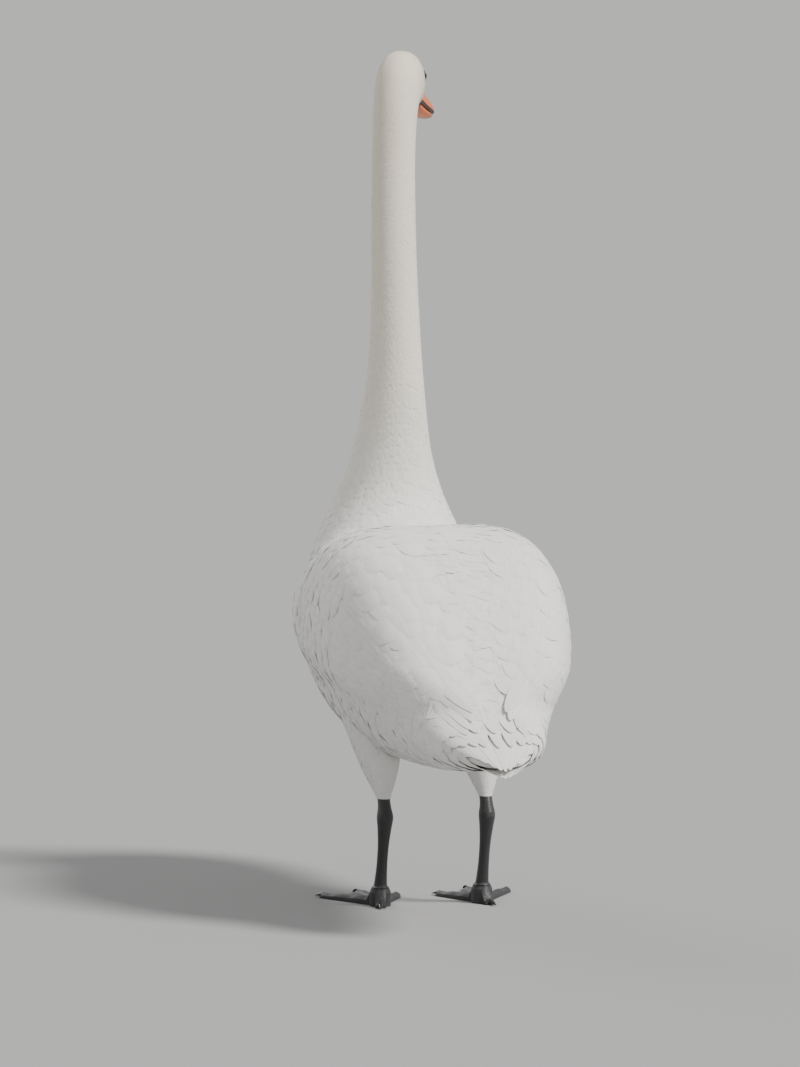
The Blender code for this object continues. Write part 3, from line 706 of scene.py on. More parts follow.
def eyelids(side, name):
    """The bare rim round an eye: a rounded lip from the eyeball out to the face."""
    centre, outward, ahead, up = EYE_FRAMES[side]
    t, round_ = ring_grid(np.linspace(0, 1, 16), 73)
    point = 1 + 0.10 * np.abs(np.cos(round_)) ** 8
    wide, tall = (between(pair, t) for pair in zip(LID_OPEN, LID_WIDE))
    across, height = wide * point * np.cos(round_), tall * np.sin(round_)
    apart = np.linspace(-1, 1, 15)
    near, beside = np.meshgrid(EYE_PLACE + apart * 0.5, np.radians(EYE_ANGLE + apart * 28))
    face = (section(spline(SPINE, near), beside * side) - centre).reshape(-1, 3)
    fit = np.linalg.lstsq(curved(face @ ahead, face @ up), face @ outward, rcond=None)[0]
    on_face = curved(across, height) @ fit
    on_ball = np.sqrt(np.maximum(EYE_RADIUS ** 2 - np.hypot(across, height) ** 2, 0.0))
    out = mixed(on_ball, on_face + 0.0004 - 0.0006 * t, ease(t / 0.6))
    out = out + 0.0010 * np.sin(math.pi * np.minimum(t / 0.85, 1)) ** 0.7
    points = centre + out[..., None] * outward + across[..., None] * ahead + height[..., None] * up
    shell(name, turn_head(points), BARE * 1.2, KNOB, (), flip=side < 0)


# On the bill, by rows from its base and degrees round from its top: the nostril's place, size and rim. Then,
# each as a place and a span: the nail's start and widening, the black edges, the black at base and knob.
NOSTRIL, NOSTRIL_SIZE, NOSTRIL_RIM = (3.05, 50), (0.36, 11), (0.62, 24)
NOSTRIL_DEPTH, RIM_HEIGHT, NAIL_HEIGHT, EDGE_HEIGHT = -0.0022, 0.0004, 0.0007, 0.0004
NAIL_START, NAIL_WIDENS, NAIL_LOWER = (5.5, 0.6), (6.1, 0.5), (5.2, 0.15)
EDGE, EDGE_START, UNDER_EDGE = (94, 4), (0.9, 0.3), (34, 5)
BASE_BLACK, LOWER_BASE_BLACK = (1.32, 0.14), (1.25, 0.12)
KNOB_BLACK, KNOB_BLACK_END = (1.48, 0.2), (75, 10)
BILL_ROWS, BILL_COLUMNS, BILL_ROUNDING = 200, 169, 0.45


def oval(at, degrees, size):
    """How far from the nostril's middle, squared, in sizes of it."""
    return ((at - NOSTRIL[0]) / size[0]) ** 2 + ((degrees - NOSTRIL[1]) / size[1]) ** 2


def upper_bill(at, degrees, round_, points):
    """The lift off the upper half's sections, and how black it is."""
    nostril = oval(at, degrees, NOSTRIL_SIZE)
    begun = np.sqrt(np.clip((at - NAIL_START[0]) / NAIL_START[1], 0, 1))
    nail = falling(degrees, 62 * begun + 80 * rising(at, *NAIL_WIDENS), 9)
    lift = NOSTRIL_DEPTH * np.exp(-nostril ** 2) + RIM_HEIGHT * np.exp(-oval(at, degrees, NOSTRIL_RIM))
    lift = lift + NAIL_HEIGHT * nail
    lift = lift + EDGE_HEIGHT * np.exp(-((degrees - 97) / 6) ** 2)
    off_knob = np.hypot(*((points - KNOB_CENTRE) / KNOB_RADII)[..., :2].transpose(2, 0, 1))
    base = BASE_BLACK[0] - at + 0.35 * np.cos(np.radians(degrees)) ** 3
    margin = KNOB_BLACK[0] + 0.05 * np.sin(7 * round_) - off_knob
    return lift, np.maximum.reduce((
        ease((1.55 - nostril) / 0.5),
        nail,
        rising(degrees, *EDGE) * rising(at, *EDGE_START),
        ease(margin / KNOB_BLACK[1]) * falling(degrees, *KNOB_BLACK_END),
        ease(base / BASE_BLACK[1]),
    ))


def bill_half(name, table, upper):
    last = len(table) - 1.0
    at, round_ = ring_grid(np.linspace(0, last, BILL_ROWS), BILL_COLUMNS)
    points = section(spline(table, at), round_)
    degrees = np.degrees(round_)
    degrees = np.minimum(degrees, 360 - degrees)
    ring = points.mean(axis=1, keepdims=True)
    outward = points - ring
    outward /= np.maximum(np.linalg.norm(outward, axis=-1, keepdims=True), 1e-9)
    if upper:
        lift, black = upper_bill(at, degrees, round_, points)
    else:
        lift = 0.0 * at
        black = np.maximum.reduce((
            rising(at, *NAIL_LOWER),
            falling(at, *LOWER_BASE_BLACK),
            falling(degrees, *UNDER_EDGE),
        ))
    past = np.maximum(at - last + BILL_ROUNDING, 0) / BILL_ROUNDING
    rounded = np.sqrt(np.clip(1 - past ** 2, 0.01, 1))
    points = ring + (points + outward * lift[..., None] - ring) * rounded[..., None]
    points, tint = capped(points, mixed(ORANGE, BARE, black[..., None]))
    shell(name + "_horn", turn_head(points), tint, BILL, (name,), flip=True)


# The knob's foot: the angle from the top where it starts, its spread and its depth.
KNOB_FOOT, KNOB_SPREAD, KNOB_DEEP = 1.25, 0.16, 1.9


def knob():
    """The knob at the base of the bill, spreading into the bare skin under it."""
    polar, round_ = ring_grid(np.linspace(0, math.pi, 80), 97)
    foot = np.clip((polar - KNOB_FOOT) / (math.pi - KNOB_FOOT), 0, 1)
    wide = np.sin(np.minimum(polar, KNOB_FOOT)) + KNOB_SPREAD * foot ** 1.3
    high = np.cos(np.minimum(polar, KNOB_FOOT)) - KNOB_DEEP * foot
    wrinkle = 1 + 0.014 * np.sin(9 * polar + 1.5 * np.sin(3 * round_)) * np.sin(polar)
    backward = 1 + KNOB_SPREAD * (np.sin(round_) > 0)
    way = np.stack((wide * np.cos(round_), wide * np.sin(round_) * backward, high), -1)
    points = KNOB_CENTRE + way * KNOB_RADII * wrinkle[..., None]
    shell("knob", turn_head(points), BARE, KNOB, ("bill_knob",))


# ---------------------------------------------------------------- the coat

# By the place along the spine: the length of the coat's feathers, its depth, and their width by length.
COAT_PLACES = (0.0, 3.0, 6.0, 9.0, 11.5, 13.0, 14.5, 16.5, 19.0, 21.5, 23.5, 25.0, 28.0)
COAT_LENGTH = (
    0.0050, 0.0066, 0.0095, 0.0125, 0.0155, 0.0200, 0.0280, 0.0360, 0.0410, 0.0450, 0.0460, 0.0420, 0.0500)
COAT_DEPTH = (
    0.0005, 0.0007, 0.0010, 0.0013, 0.0016, 0.0020, 0.0026, 0.0033, 0.0037, 0.0040, 0.0044, 0.0048, 0.0060)
VANE_RATIO = ((0, 8, 13, 17, 23, 24.5), (0.44, 0.42, 0.50, 0.62, 0.62, 0.45))
# By the degrees round from the back: how far the bare skin reaches along the spine, and where the coat ends.
BARE_REACH = ((0, 30, 50, 66, 80, 96, 118, 180), (0.30, 0.42, 0.95, 1.75, 1.62, 0.85, 0.35, 0.22))
COVERTS_END = ((0, 20, 70, 110, 180), (25.1, 24.9, 24.5, 24.9, 25.1))
# Where a folded wing hides the body: shares of its length, and degrees inside its upper and lower edge.
HIDDEN, HIDDEN_TOP, HIDDEN_LOW = (0.34, 0.84), 9, 14


def coat_length(place):
    return np.interp(place, COAT_PLACES, COAT_LENGTH)


def coat_depth(place):
    return np.interp(place, COAT_PLACES, COAT_DEPTH)


def vane_ratio(place):
    return np.interp(place, *VANE_RATIO)


def around_from_back(angles):
    """Degrees round from the back, 0 to 180, whichever side."""
    found = np.degrees(angles) % 360
    return np.minimum(found, 360 - found)


def bare_face(a, b):
    """How far inside the bare black skin of the face a place is, and below zero outside it."""
    return np.interp(around_from_back(b), *BARE_REACH) - a


def wing_edges(share):
    return np.interp(share, WING_SHARE, WING_TOP), np.interp(share, WING_SHARE, WING_LOW)


def under_wing(a, b):
    """True where a folded wing hides the body."""
    share = wing_share(a)
    top, low = wing_edges(share)
    degrees = around_from_back(b)
    inside = (degrees > top + HIDDEN_TOP) & (degrees < low - HIDDEN_LOW)
    return (share > HIDDEN[0]) & (share < HIDDEN[1]) & inside


def drift(a, b, size, seed):
    """A smooth wandering value, about -1 to 1, over places and angles."""
    k = np.random.default_rng(seed).uniform(0.7, 1.6, 6)
    return (np.sin(k[0] * a * size + 2 * np.sin(2 * b + k[1])) + np.sin(3 * b * k[2] + k[3] * a * size)
            + np.sin(5 * b + k[4] * 1.7 * a * size + k[5])) / 3


# The gap between rows of body feathers, as a share of their length.
ROW_SPACING = 0.28


def body_roots(start, end, rng, crowd):
    """Places and angles of body feathers' roots, in staggered rows that drop out where they would crowd."""
    places, angles = [], []
    place = start
    around = np.linspace(0, math.tau, 181)
    rows = np.full(181, -1e-6)
    while place < end:
        size = coat_length(place)
        line = np.full(181, place)
        arc = arc_length(COVER.at(line, around))
        rate = COVER.rates(line, around)[0]
        passed = rows + rate / rate.max()
        n = max(int(arc[-1] / (crowd * size * vane_ratio(place))), 8)
        at = np.arange(n) / n
        row = np.interp(at * arc[-1], arc, passed)
        new = np.floor(row) > np.floor(np.interp(at * arc[-1], arc, rows))
        at = (at + (np.floor(row) % 2 * 0.5 + rng.uniform(-0.3, 0.3, n)) / n)[new] % 1.0
        step = ROW_SPACING * size / rate.max()
        angles.append(np.interp(at * arc[-1], arc, around))
        places.append(place + rng.uniform(-0.35, 0.35, len(at)) * step)
        place += step
        rows = passed
    return np.concatenate(places), np.concatenate(angles)


def clear_of_eyes(a, b):
    """True for feathers whose root, middle and tip stay off the bare skin round the eyes."""
    found = np.ones(len(a), bool)
    for share in (0.0, 0.5, 1.0):
        points = COVER.at(a + share * coat_length(a) / COVER.rates(a, b)[0], b)
        found &= eye_reach(points) > EYE_BARE - 0.0006 * share
    return found


def body_coat(name, start, end, shape, columns, crowd, slot, material, seed):
    """Feathers over a stretch of the body: longer on the front of the wing, shorter beside the bare skin,
    tucked down round the eyes and raised a little along the seam on the back."""
    rng = np.random.default_rng(seed)
    a, b = body_roots(start, end, rng, crowd)
    keep = ~under_wing(a, b) & (a > 0) & (a < np.interp(around_from_back(b), *COVERTS_END))
    keep &= (bare_face(a, b) < 0) & clear_of_eyes(a, b)
    a, b, n = a[keep], b[keep], int(keep.sum())
    share, degrees = wing_share(a), around_from_back(b)
    on_wing = rising(share, 0, 0.2) * falling(share, 0.5, 0.1) * ease((wing_edges(share)[1] - degrees) / 30)
    size = coat_length(a) * (1 + 0.3 * on_wing) * rng.normal(1.0, 0.08, n).clip(0.75, 1.25)
    size = size * (0.55 + 0.45 * ease(-bare_face(a, b) / 0.6))
    wide = size * vane_ratio(a) * rng.normal(1, 0.08, n).clip(0.7, 1.3)
    depth = coat_depth(a)
    root = (-0.85 - 0.4 * ease((0.0115 - eye_reach(COVER.at(a, b))) / 0.003)) * depth
    seam = 0.0006 * falling(degrees, 11, 3) * rising(share, 0.30, 0.06) * falling(share, 0.9, 0.05)
    heading = drift(a, b, 1.0, seed) * 0.06 + rng.normal(0, 0.06, n)
    ruffle = 0.12 * depth * drift(a, b, 2.2, seed + 50)
    tip = seam + ruffle - 0.04 * depth + rng.normal(0, 0.05, n) * depth
    bake = np.stack((b % math.tau / math.tau, (a - start) / (end - start)), -1) * 0.96 + 0.02
    coat = Coat()
    lay(coat, COVER, a, b, size, wide, heading, root, tip, shape, rng, plumage(a, rng), bake, columns,
        ridge=0.06, hug=0.12)
    return coat.build("coat_" + name, material)


# ---------------------------------------------------------------- wings, tail and thighs

# How far roots stray from their rows, in gaps, the gap between feathers in a row by their width, the
# shortest feather, and the most that one bends.
ROOT_STRAY, TRACT_CROWD, SHORTEST, MOST_BEND = 0.13, 0.5, 0.02, 0.35


def wing_place(share, across):
    """Place and angle on the body of a share of the left wing's length and of its way down the side."""
    return between(WING, share), np.radians(between(wing_edges(share), across))


def wing_heading(share, across):
    """How far a line along the wing turns from the line along the body."""
    step = 0.02
    (a, b), (after_a, after_b) = wing_place(share - step, across), wing_place(share + step, across)
    return COVER.heading((a + after_a) / 2, (b + after_b) / 2, after_a - a, after_b - b)


def tract_roots(rng, shares, sides, width, spacing):
    """Shares of the wing's length and of the way down it of a tract's roots, in staggered rows."""
    share_list, side_list = [], []
    share, odd = shares[0], False
    middle = np.linspace(*sides, 60)
    while share < shares[1]:
        f = (share - shares[0]) / (shares[1] - shares[0])
        a, b = wing_place(np.full(60, share), middle)
        arc = arc_length(COVER.at(a, b))
        step = between(spacing, f) / (COVER.rates(a, b)[0].mean() * WING_RUN)
        n = max(int(arc[-1] / (TRACT_CROWD * between(width, f))), 2)
        at = (np.arange(n) + (0.75 if odd else 0.25) + rng.uniform(-ROOT_STRAY, ROOT_STRAY, n)) / n
        share_list.append(share + rng.uniform(-ROOT_STRAY, ROOT_STRAY, n) * step)
        side_list.append(np.interp(at * arc[-1], arc, middle))
        share += step
        odd = not odd
    return np.concatenate(share_list), np.concatenate(side_list)


def wing_tract(coat, rng, shares, sides, length, width, spacing, reach, shape, root, tip):
    """Feathers over a stretch of the wing. Length, width and spacing are given at its front and at its rear,
    and the shares of the wing that their tips stop at are given at its upper and at its lower side."""
    share, side = tract_roots(rng, shares, sides, width, spacing)
    n = len(share)
    f = np.clip((share - shares[0]) / (shares[1] - shares[0]), 0, 1)
    long, wide = (between(pair, f) * rng.normal(1, 0.04, n) for pair in (length, width))
    stop = np.interp(side, sides, reach) + rng.normal(0, 0.006, n)
    a, b = wing_place(share, side)
    pace = COVER.rates(a, b)[0] * WING_RUN
    long = np.clip(long, SHORTEST, np.maximum((stop - share) * pace, SHORTEST))
    start, end = wing_heading(share, side), wing_heading(np.minimum(share + long / pace, 1.0), side)
    bake = np.stack((0.1 + 0.8 * side, 0.02 + 0.86 * share), -1)
    lay(coat, COVER, a, b, long, wide, start + rng.normal(0, 0.02, n), root, tip + rng.normal(0, 0.0003, n),
        shape, rng, whites(n, rng), bake, columns=5, ridge=0.08,
        bend=np.clip(end - start, -MOST_BEND, MOST_BEND))


# Tracts, hindmost first: shares, sides, length, width, spacing, reach, shape, lift of root and of tip.
TRACTS = (
    ((0.60, 0.82), (0.07, 0.80), (0.20, 0.10), (0.030, 0.026), (0.030, 0.026), (1.00, 0.93), POINTED,
     -0.0080, -0.0020),
    ((0.38, 0.76), (0.42, 1.00), (0.17, 0.10), (0.036, 0.030), (0.028, 0.028), (0.95, 0.86), LONG,
     -0.0060, 0.0004),
    ((0.38, 0.84), (0.07, 0.48), (0.15, 0.11), (0.044, 0.040), (0.032, 0.028), (0.99, 0.97), LONG,
     -0.0060, 0.0018),
    ((0.28, 0.49), (0.38, 1.00), (0.080, 0.095), (0.034, 0.036), (0.020, 0.025), (0.8, 0.8), LONG,
     -0.0050, 0.0013),
    ((0.25, 0.50), (0.07, 0.44), (0.066, 0.100), (0.032, 0.042), (0.018, 0.026), (0.8, 0.8), ROUND,
     -0.0050, 0.0016),
    ((0.25, 0.38), (0.34, 1.00), (0.052, 0.060), (0.028, 0.031), (0.013, 0.016), (0.8, 0.8), ROUND,
     -0.0045, 0.0010),
)
# Primaries, longest and lowest first: degrees round from the back of root and tip, place of the tip, lift.
PRIMARIES = (
    (56, 33, 26.15, -0.0010),
    (50, 29, 25.95, 0.0002),
    (44, 25, 25.72, 0.0014),
    (38, 21, 25.47, 0.0026),
    (32, 17, 25.20, 0.0038),
    (26, 13, 24.92, 0.0050),
)
PRIMARY_ROOT, PRIMARY_WIDTH = 22.7, 0.027


def primaries(coat, rng):
    """The long feathers' ends, one over another, from under the wing's hindmost tract."""
    root, tip, end, lift = np.array(PRIMARIES).T
    root, tip = np.radians(root), np.radians(tip)
    n = len(root)
    a = np.full(n, PRIMARY_ROOT)
    run = np.linspace(0, 1, 30)[:, None]
    path = COVER.at(between((a, end), run), between((root, tip), run))
    long = np.linalg.norm(np.diff(path, axis=0), axis=-1).sum(axis=0)
    heading = COVER.heading((a + end) / 2, (root + tip) / 2, end - a, tip - root)
    bake = np.stack((0.2 + 0.1 * np.arange(n), np.full(n, 0.96)), -1)
    lay(coat, COVER, a, root, long, PRIMARY_WIDTH, heading, -0.006, lift + 0.001, POINTED, rng,
        whites(n, rng), bake, columns=5, ridge=0.05, twist=0.0)


def wing(name, seed, mirror):
    rng = np.random.default_rng(seed)
    coat = Coat()
    primaries(coat, rng)
    for tract in TRACTS:
        wing_tract(coat, rng, *tract)
    return coat.build(name, PLUMAGE, mirror)


# Ranks of the tail, innermost first: place of the roots, count, place of the middle tip, how much less far
# the outer ones reach, width and lift. The fan is in degrees to either side.
TAIL_RANKS = (
    (24.6, 13, 27.95, 1.75, 0.024, -0.0012),
    (24.4, 11, 26.60, 0.90, 0.026, 0.0002),
    (24.2, 11, 25.80, 0.50, 0.028, 0.0012),
)
TAIL_FAN = 84


def tail():
    """The tail: long feathers from under the coverts, converging to its tip above and below."""
    rng = np.random.default_rng(77)
    coat = Coat()
    for start, count, middle, edge, wide, lift in TAIL_RANKS:
        for half in (0, 180):
            u = np.linspace(-1, 1, count)
            u = u[np.argsort(-np.abs(u), kind="stable")]
            b = np.radians(half + TAIL_FAN * u) + rng.normal(0, 0.01, count)
            a = np.full(count, start)
            end = middle - edge * np.abs(u) ** 1.5 + rng.normal(0, 0.02, count)
            long = np.linalg.norm(BODY.at(end, b) - BODY.at(a, b), axis=1)
            step = 0.0012 * (1 - np.abs(u))
            bake = np.stack((0.5 + 0.4 * u, np.full(count, 0.2 + half / 300)), -1)
            lay(coat, BODY, a, b, long, wide, rng.normal(0, 0.012, count), lift - 0.004, lift + step,
                POINTED, rng, whites(count, rng), bake, columns=5)
    return coat.build("coat_tail", PLUMAGE)


# The thigh's rows of feathers by the place down it, how many are in a row, how long they are, and the
# place from which they sink into the shank.
THIGH_ROWS = np.arange(0.3, 4.75, 0.115)
THIGH_COUNT, THIGH_LENGTH = ((0, 4, 5), (38, 22, 18)), ((0, 2, 4, 5), (0.030, 0.023, 0.012, 0.009))
THIGH_SINKS = (3.9, 0.8)


def thigh_coat(name, seed, mirror):
    rng = np.random.default_rng(seed)
    a, b = [], []
    for k, place in enumerate(THIGH_ROWS):
        n = int(np.interp(place, *THIGH_COUNT))
        b.append(((np.arange(n) + 0.5 * (k % 2) + rng.uniform(-0.2, 0.2, n)) / n % 1) * math.tau)
        a.append(np.full(n, place) + rng.uniform(-0.05, 0.05, n))
    a, b = np.concatenate(a), np.concatenate(b)
    n = len(a)
    size = np.interp(a, *THIGH_LENGTH) * rng.normal(1, 0.08, n)
    bake = np.stack((0.02 + 0.96 * b / math.tau, 0.02 + 0.19 * a), -1)
    sunk = rising(a, *THIGH_SINKS)
    coat = Coat()
    lay(coat, THIGH_SKIN, a, b, size, size * 0.55, rng.normal(0, 0.05, n), -0.0028 - 0.0010 * sunk,
        0.0002 - 0.0028 * sunk, ROUND, rng, whites(n, rng), bake, ridge=0.06, hug=0.12)
    return coat.build(name, PLUMAGE, mirror)


# ---------------------------------------------------------------- skin

SKIN_NODES = ("head", "neck_upper", "neck_middle", "neck_lower", "trunk", "tail", "wing_left", "wing_right",
              "thigh_left", "thigh_right")
# Where the skin closes at the tail, and how deep it lies on the thighs.
SKIN_END, THIGH_DEPTH = 26.9, 0.003
# The hollow that the skin forms under an eyeball: its depth, radius and slope.
HOLLOW, HOLLOW_RADIUS, HOLLOW_SLOPE = 0.0030, 0.0069, 0.0012


def skin():
    """The skin under the coat in one piece: body, wings and thighs."""
    pieces = []

    def take(points, tint, u, v, mirror=False):
        faces = grid_faces(*points.shape[:2])
        if mirror:
            points, faces = points * (-1, 1, 1), faces[:, ::-1]
        pieces.append((points.reshape(-1, 3), faces, np.broadcast_to(tint, points.shape).reshape(-1, 3),
                       np.stack((u, v), -1).reshape(-1, 2)))

    stretches = ((0.0, 2.4, 140), (2.4, 9.0, 70), (9.0, SKIN_END, 130))
    at = np.append(0.0, np.concatenate([np.linspace(*stretch)[1:] for stretch in stretches]))
    a, b = ring_grid(at, 193)
    share = ease(bare_face(a, b) / 0.06 + 0.5)
    body = COVER.at(a, b, -coat_depth(a) * (1 - 0.75 * share))
    body[:, -1] = body[:, 0]
    reach = eye_reach(body)
    hollow = HOLLOW * ease((HOLLOW_RADIUS - reach) / HOLLOW_SLOPE)
    body = body - COVER.read(COVER.normals, a, b) * hollow[..., None]
    share = np.maximum(share, ease((EYE_BARE + 0.0008 - reach) / 0.0006))[..., None]
    tint = mixed(plumage(a), BARE, share)
    body, tint = capped(body, tint)
    u = np.concatenate((b[:1], b, b[:1])) / math.tau * 0.58
    v = np.r_[0.0, 0.01 + 0.98 * at / SKIN_END, 1.0]
    take(body, tint, u, np.broadcast_to(v[:, None], u.shape))
    a, b = ring_grid(np.linspace(0, len(THIGH) - 1, 40), 49)
    thigh = THIGH_SKIN.at(a, b, -THIGH_DEPTH)
    thigh[:, -1] = thigh[:, 0]
    for base, mirror in ((0.60, False), (0.80, True)):
        take(thigh, WHITE, base + b / math.tau * 0.19, 0.80 + a * 0.038, mirror)
    starts = np.cumsum([0] + [len(p[0]) for p in pieces])
    points, tint, uv = (np.concatenate([p[k] for p in pieces]) for k in (0, 2, 3))
    faces = np.concatenate([p[1] + start for p, start in zip(pieces, starts)])
    mesh = raw_mesh("skin", points, faces, np.ones(len(faces), bool), tint, (("OFBake", uv),), SKIN)
    link("skin", mesh, SKIN_NODES)


# ---------------------------------------------------------------- legs


def both_sides(points, name, ending, tint, material, turned_over=False):
    """The left piece and its mirror image on the right."""
    for side, hand in SIDES:
        node = name.format(hand)
        there = to_row(points) * (side, 1, 1)
        shell(node + ending, there, tint, material, (node,), flip=(side < 0) != turned_over)


# The scutes down the shank's front, and the swelling where it meets the foot, by rows of the table.
SCUTE_GAP, SCUTE_HIGH, ANKLE_SWELL, ANKLE = 0.0062, 0.0006, 0.0024, (7.1, 0.9)


def shanks():
    """The lower legs, with the scutes down their fronts in low relief."""
    last = len(SHANK) - 1
    at, round_ = ring_grid(np.linspace(0, last, 220), 73)
    y, z, half, deep = np.moveaxis(spline(SHANK, at), -1, 0)
    front = ease((-np.cos(round_) - 0.25) / 0.5)
    scute = np.abs(np.sin(math.pi * z / SCUTE_GAP)) ** 0.4 - 0.7
    swell = SCUTE_HIGH * front * scute * falling(at, last, 0.4) + ANKLE_SWELL * rising(at, *ANKLE)
    points = leg_points(y, z, half + swell, deep + swell, round_)
    both_sides(points, "shank_{}", "_skin", LEG_GREY, LEG)


# The gap between the scales along a toe, and where the foot's upper face starts to round off at its edge.
TOE_SCALE, EDGE_SHARE = 0.0042, 0.97


def toe_height(x, y):
    """Height of the foot's upper face at points measured from the hub, x outward and y backward."""
    radius = np.hypot(x, y)
    height = np.full(x.shape, WEB_THICK)
    for angle, length, half, knuckle in (*TOES, HIND_TOE):
        turn = math.radians(angle)
        along = x * math.sin(turn) - y * math.cos(turn)
        off = x * math.cos(turn) + y * math.sin(turn)
        f = np.clip(along / length, 0, 1)
        scales = np.abs(np.sin(along * math.pi / TOE_SCALE)) ** 0.5
        joints = 1 + 0.07 * np.cos(math.tau * 3 * f) * (f > 0.15) + 0.05 * scales
        crown = knuckle * (1 - TOE_TAPER * f) * joints * 0.95
        arch = np.sqrt(np.maximum(0.0, 1 - (off / (TOE_SPREAD * half)) ** 2))
        height = np.where(along >= 0, np.maximum(height, crown * arch), height)
    fall = np.clip((radius - HUB_RADIUS) / HUB_SLOPE, 0.0, 1.0)
    return np.maximum(height, WEB_THICK + (HUB_HEIGHT - WEB_THICK) * (1 - fall) ** 2)


def toe_reach(off, length):
    """Radius at which a toe's straight side is met, this many degrees off its line."""
    side = TOE_SIDE / np.sin(np.radians(np.clip(off, 0.01, 90.0)))
    return np.where(off <= 0, length, np.minimum(length, side))


def foot_outline():
    """Angles round the hub and the radius of the sole at each: web between the toes, heel behind them."""
    stops = [(HIND_TOE[0] - 360, HIND_TOE[1]), *(toe[:2] for toe in TOES), HIND_TOE[:2]]
    angles, radii = [], []
    for i, ((start, near), (end, far)) in enumerate(zip(stops, stops[1:])):
        heel = i in (0, len(stops) - 2)
        t = np.linspace(0, 1, 121)[:-1]
        angle = start + (end - start) * (0.5 - 0.5 * np.cos(math.pi * t))
        if heel:
            toes = np.maximum(toe_reach(angle - start, near), toe_reach(end - angle, far))
            radius = np.maximum(toes, HUB_RADIUS + HEEL_RIM)
        else:
            radius = (near + (far - near) * t) * (1 - WEB_NOTCH * np.sin(math.pi * t) ** 0.8)
        angles.append(np.radians(angle))
        radii.append(radius)
    angles, radii = np.concatenate(angles), np.concatenate(radii)
    return np.append(angles, angles[0] + math.tau), np.append(radii, radii[0])


def feet():
    """The webbed feet, with their joints, the scales over the toes and folds in the webs."""
    angle, reach = foot_outline()
    share = np.append(np.linspace(0, EDGE_SHARE, 70), np.linspace(EDGE_SHARE, 1.0, 6)[1:])[:, None]
    r = HUB_RADIUS + (reach - HUB_RADIUS) * share
    x, y = r * np.sin(angle), -r * np.cos(angle)
    height = toe_height(x, y)
    folds = 0.0004 * np.sin(angle * 90) * falling(height, 0.006, 0.003) * rising(share, 0.3, 0.2)
    rounded = np.sqrt(np.clip((1 - share) / (1 - EDGE_SHARE), 0, 1))
    rim = WEB_THICK * 0.4
    height = rim + (height + folds - rim) * np.where(share > EDGE_SHARE, rounded, 1)
    top = np.stack((LEG_X + x, FOOT_Y + y, height), -1)
    sole = np.stack((LEG_X + x[-1], FOOT_Y + y[-1], 0 * x[-1]), -1)[None]
    middle = np.broadcast_to(np.array((LEG_X, FOOT_Y, 0.0)), sole.shape)
    crest = np.broadcast_to(np.array((LEG_X, FOOT_Y, HUB_HEIGHT)), sole.shape)
    points = np.concatenate((crest, top, sole, middle))
    both_sides(points, "foot_{}", "_skin", LEG_GREY, LEG, turned_over=True)


def claws():
    for toe, place in zip((*TOES, HIND_TOE), ("inner", "middle", "outer", "hind")):
        turn = math.radians(toe[0])
        ahead = np.array((math.sin(turn), -math.cos(turn), 0.0))
        across = np.array((math.cos(turn), math.sin(turn), 0.0))
        start = np.array((LEG_X, FOOT_Y, 0.0)) + ahead * (toe[1] - CLAW_ROOT)
        t, round_ = ring_grid(np.linspace(0, 1, 20), 33)
        size = np.sqrt(1 - t * (1 - CLAW_TIP))
        middle = CLAW_CLEAR + (CLAW_HEIGHT - CLAW_CLEAR) / 2 * (1 - CLAW_DROOP * t * t)
        tall = (CLAW_HEIGHT - CLAW_CLEAR) / 2 * size * (1 - CLAW_THIN * t * t)
        points = start + ahead * ((CLAW_LENGTH + CLAW_ROOT) * t)[..., None]
        points = points + across * (CLAW_WIDTH * size * np.sin(round_))[..., None]
        points[..., 2] = np.maximum(middle + tall * np.cos(round_), CLAW_CLEAR)
        points = np.concatenate((points, np.repeat(points[-1:].mean(axis=1, keepdims=True), 33, 1)))
        both_sides(points, "claw_" + place + "_{}", "_horn", BARE, CLAW, turned_over=True)


# ---------------------------------------------------------------- stage


def look_at(obj, target):
    obj.rotation_euler = (Vector(target) - obj.location).to_track_quat("-Z", "Y").to_euler()


def sun(name, way, strength, spread, colour):
    """A soft light from a direction, the same all over the floor."""
    data = bpy.data.lights.new(name, "SUN")
    data.energy, data.angle, data.color = strength, math.radians(spread), colour
    obj = placed(name, data)
    obj.location = way
    look_at(obj, (0, 0, 0))


# The light from all round, and the two soft lights: the way to each and its strength.
WORLD_LIGHT = 0.60
KEY_WAY, KEY_LIGHT = Vector((-0.62, 0.50, 0.80)), 4.3
FRONT_WAY, FRONT_LIGHT = Vector((0.25, -0.75, 0.45)), 0.7
FLOOR_RADIUS, FLOOR_SIDES = 300, 96


def stage():
    turns = [math.tau * k / FLOOR_SIDES for k in range(FLOOR_SIDES)]
    ring = [(FLOOR_RADIUS * math.cos(turn), FLOOR_RADIUS * math.sin(turn), 0.0) for turn in turns]
    mesh = bpy.data.meshes.new("floor")
    mesh.from_pydata(ring, [], [tuple(range(FLOOR_SIDES))])
    floor = placed("floor", mesh)
    fallen = KEY_LIGHT * KEY_WAY.normalized().z + FRONT_LIGHT * FRONT_WAY.normalized().z
    grey = WORLD_LIGHT / (WORLD_LIGHT + fallen / math.pi)
    mesh.materials.append(Look("floor", (grey, grey, grey), 1.0, Specular_IOR_Level=0.0).made)
    world = bpy.data.worlds.new("studio")
    world.use_nodes = True
    light = world.node_tree.nodes["Background"]
    light.inputs["Color"].default_value = (1, 1, 1, 1)
    light.inputs["Strength"].default_value = WORLD_LIGHT
    bpy.context.scene.world = world
    sun("key", KEY_WAY * 5, KEY_LIGHT, 14, (1.0, 0.985, 0.96))
    sun("front", FRONT_WAY * 5, FRONT_LIGHT, 30, (1.0, 0.99, 0.98))


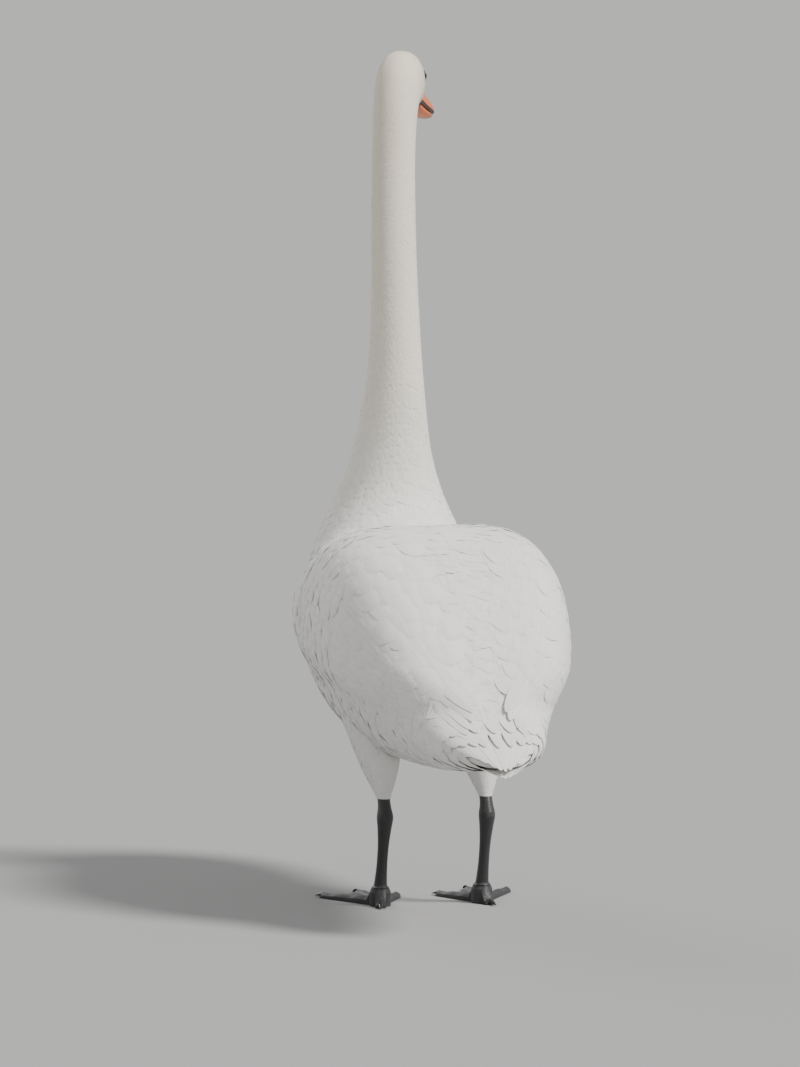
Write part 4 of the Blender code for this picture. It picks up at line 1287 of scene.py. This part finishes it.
# The camera: how far off and how high, the degrees that the swan heads to the left of straight away from
# it, the lens and sensor in millimetres, and the swan's middle with its place in the frame, as shares of it.
DISTANCE, CAMERA_Z, HEADING = 11.9, 1.63, 13.4
LENS, SENSOR, FRAME_SHAPE = 286.0, 36.0, 0.75
SWAN_MIDDLE, PLACE_IN_FRAME = Vector((-0.005, 0.0, 0.60)), (0.547, 0.453)
FARTHEST = 700


def camera():
    data = bpy.data.cameras.new("camera")
    data.lens, data.sensor_width, data.sensor_fit = LENS, SENSOR, "AUTO"
    data.clip_end = FARTHEST
    obj = placed("camera", data)
    turn = math.radians(180 - HEADING)
    obj.location = (DISTANCE * math.sin(turn), -DISTANCE * math.cos(turn), CAMERA_Z)
    ahead = (SWAN_MIDDLE - obj.location).normalized()
    right = ahead.cross(Vector((0, 0, 1))).normalized()
    up = right.cross(ahead)
    high = SENSOR / LENS * (SWAN_MIDDLE - obj.location).length
    aside, above = PLACE_IN_FRAME[0] - 0.5, 0.5 - PLACE_IN_FRAME[1]
    look_at(obj, SWAN_MIDDLE - right * aside * high * FRAME_SHAPE - up * above * high)
    bpy.context.scene.camera = obj


# ---------------------------------------------------------------- build

# Stretches of the body's coat: name, start and end on the spine, shape, columns, crowding, slot, material.
BODY_COATS = (
    ("head", 0.0, 3.6, DOWNY, 3, 0.40, "plumage_neck", DOWN),
    ("nape", 3.6, 7.1, DOWNY, 3, 0.40, "plumage_neck", DOWN),
    ("neck_upper", 7.1, 10.3, MIDDLE, 3, 0.44, "plumage_neck", DOWN),
    ("neck_lower", 10.3, 13.4, MIDDLE, 5, 0.50, "plumage_white", DOWN),
    ("breast", 13.4, 16.6, ROUND, 5, 0.48, "plumage_white", SOFT),
    ("flanks", 16.6, 20.0, ROUND, 5, 0.48, "plumage_white", SOFT),
    ("rear", 20.0, 25.4, ROUND, 5, 0.48, "plumage_white", PLUMAGE),
)

skin()
for k, row in enumerate(BODY_COATS):
    body_coat(*row, seed=11 + k)
wing("coat_wing_left", 21, False)
wing("coat_wing_right", 22, True)
tail()
thigh_coat("coat_thigh_left", 31, False)
thigh_coat("coat_thigh_right", 32, True)
for side, hand in SIDES:
    eyeball(side, "eye_" + hand)
    eyelids(side, "eyelids_" + hand)
bill_half("bill_upper", BILL_UPPER, True)
bill_half("bill_lower", BILL_LOWER, False)
knob()
shanks()
feet()
claws()
stage()
camera()
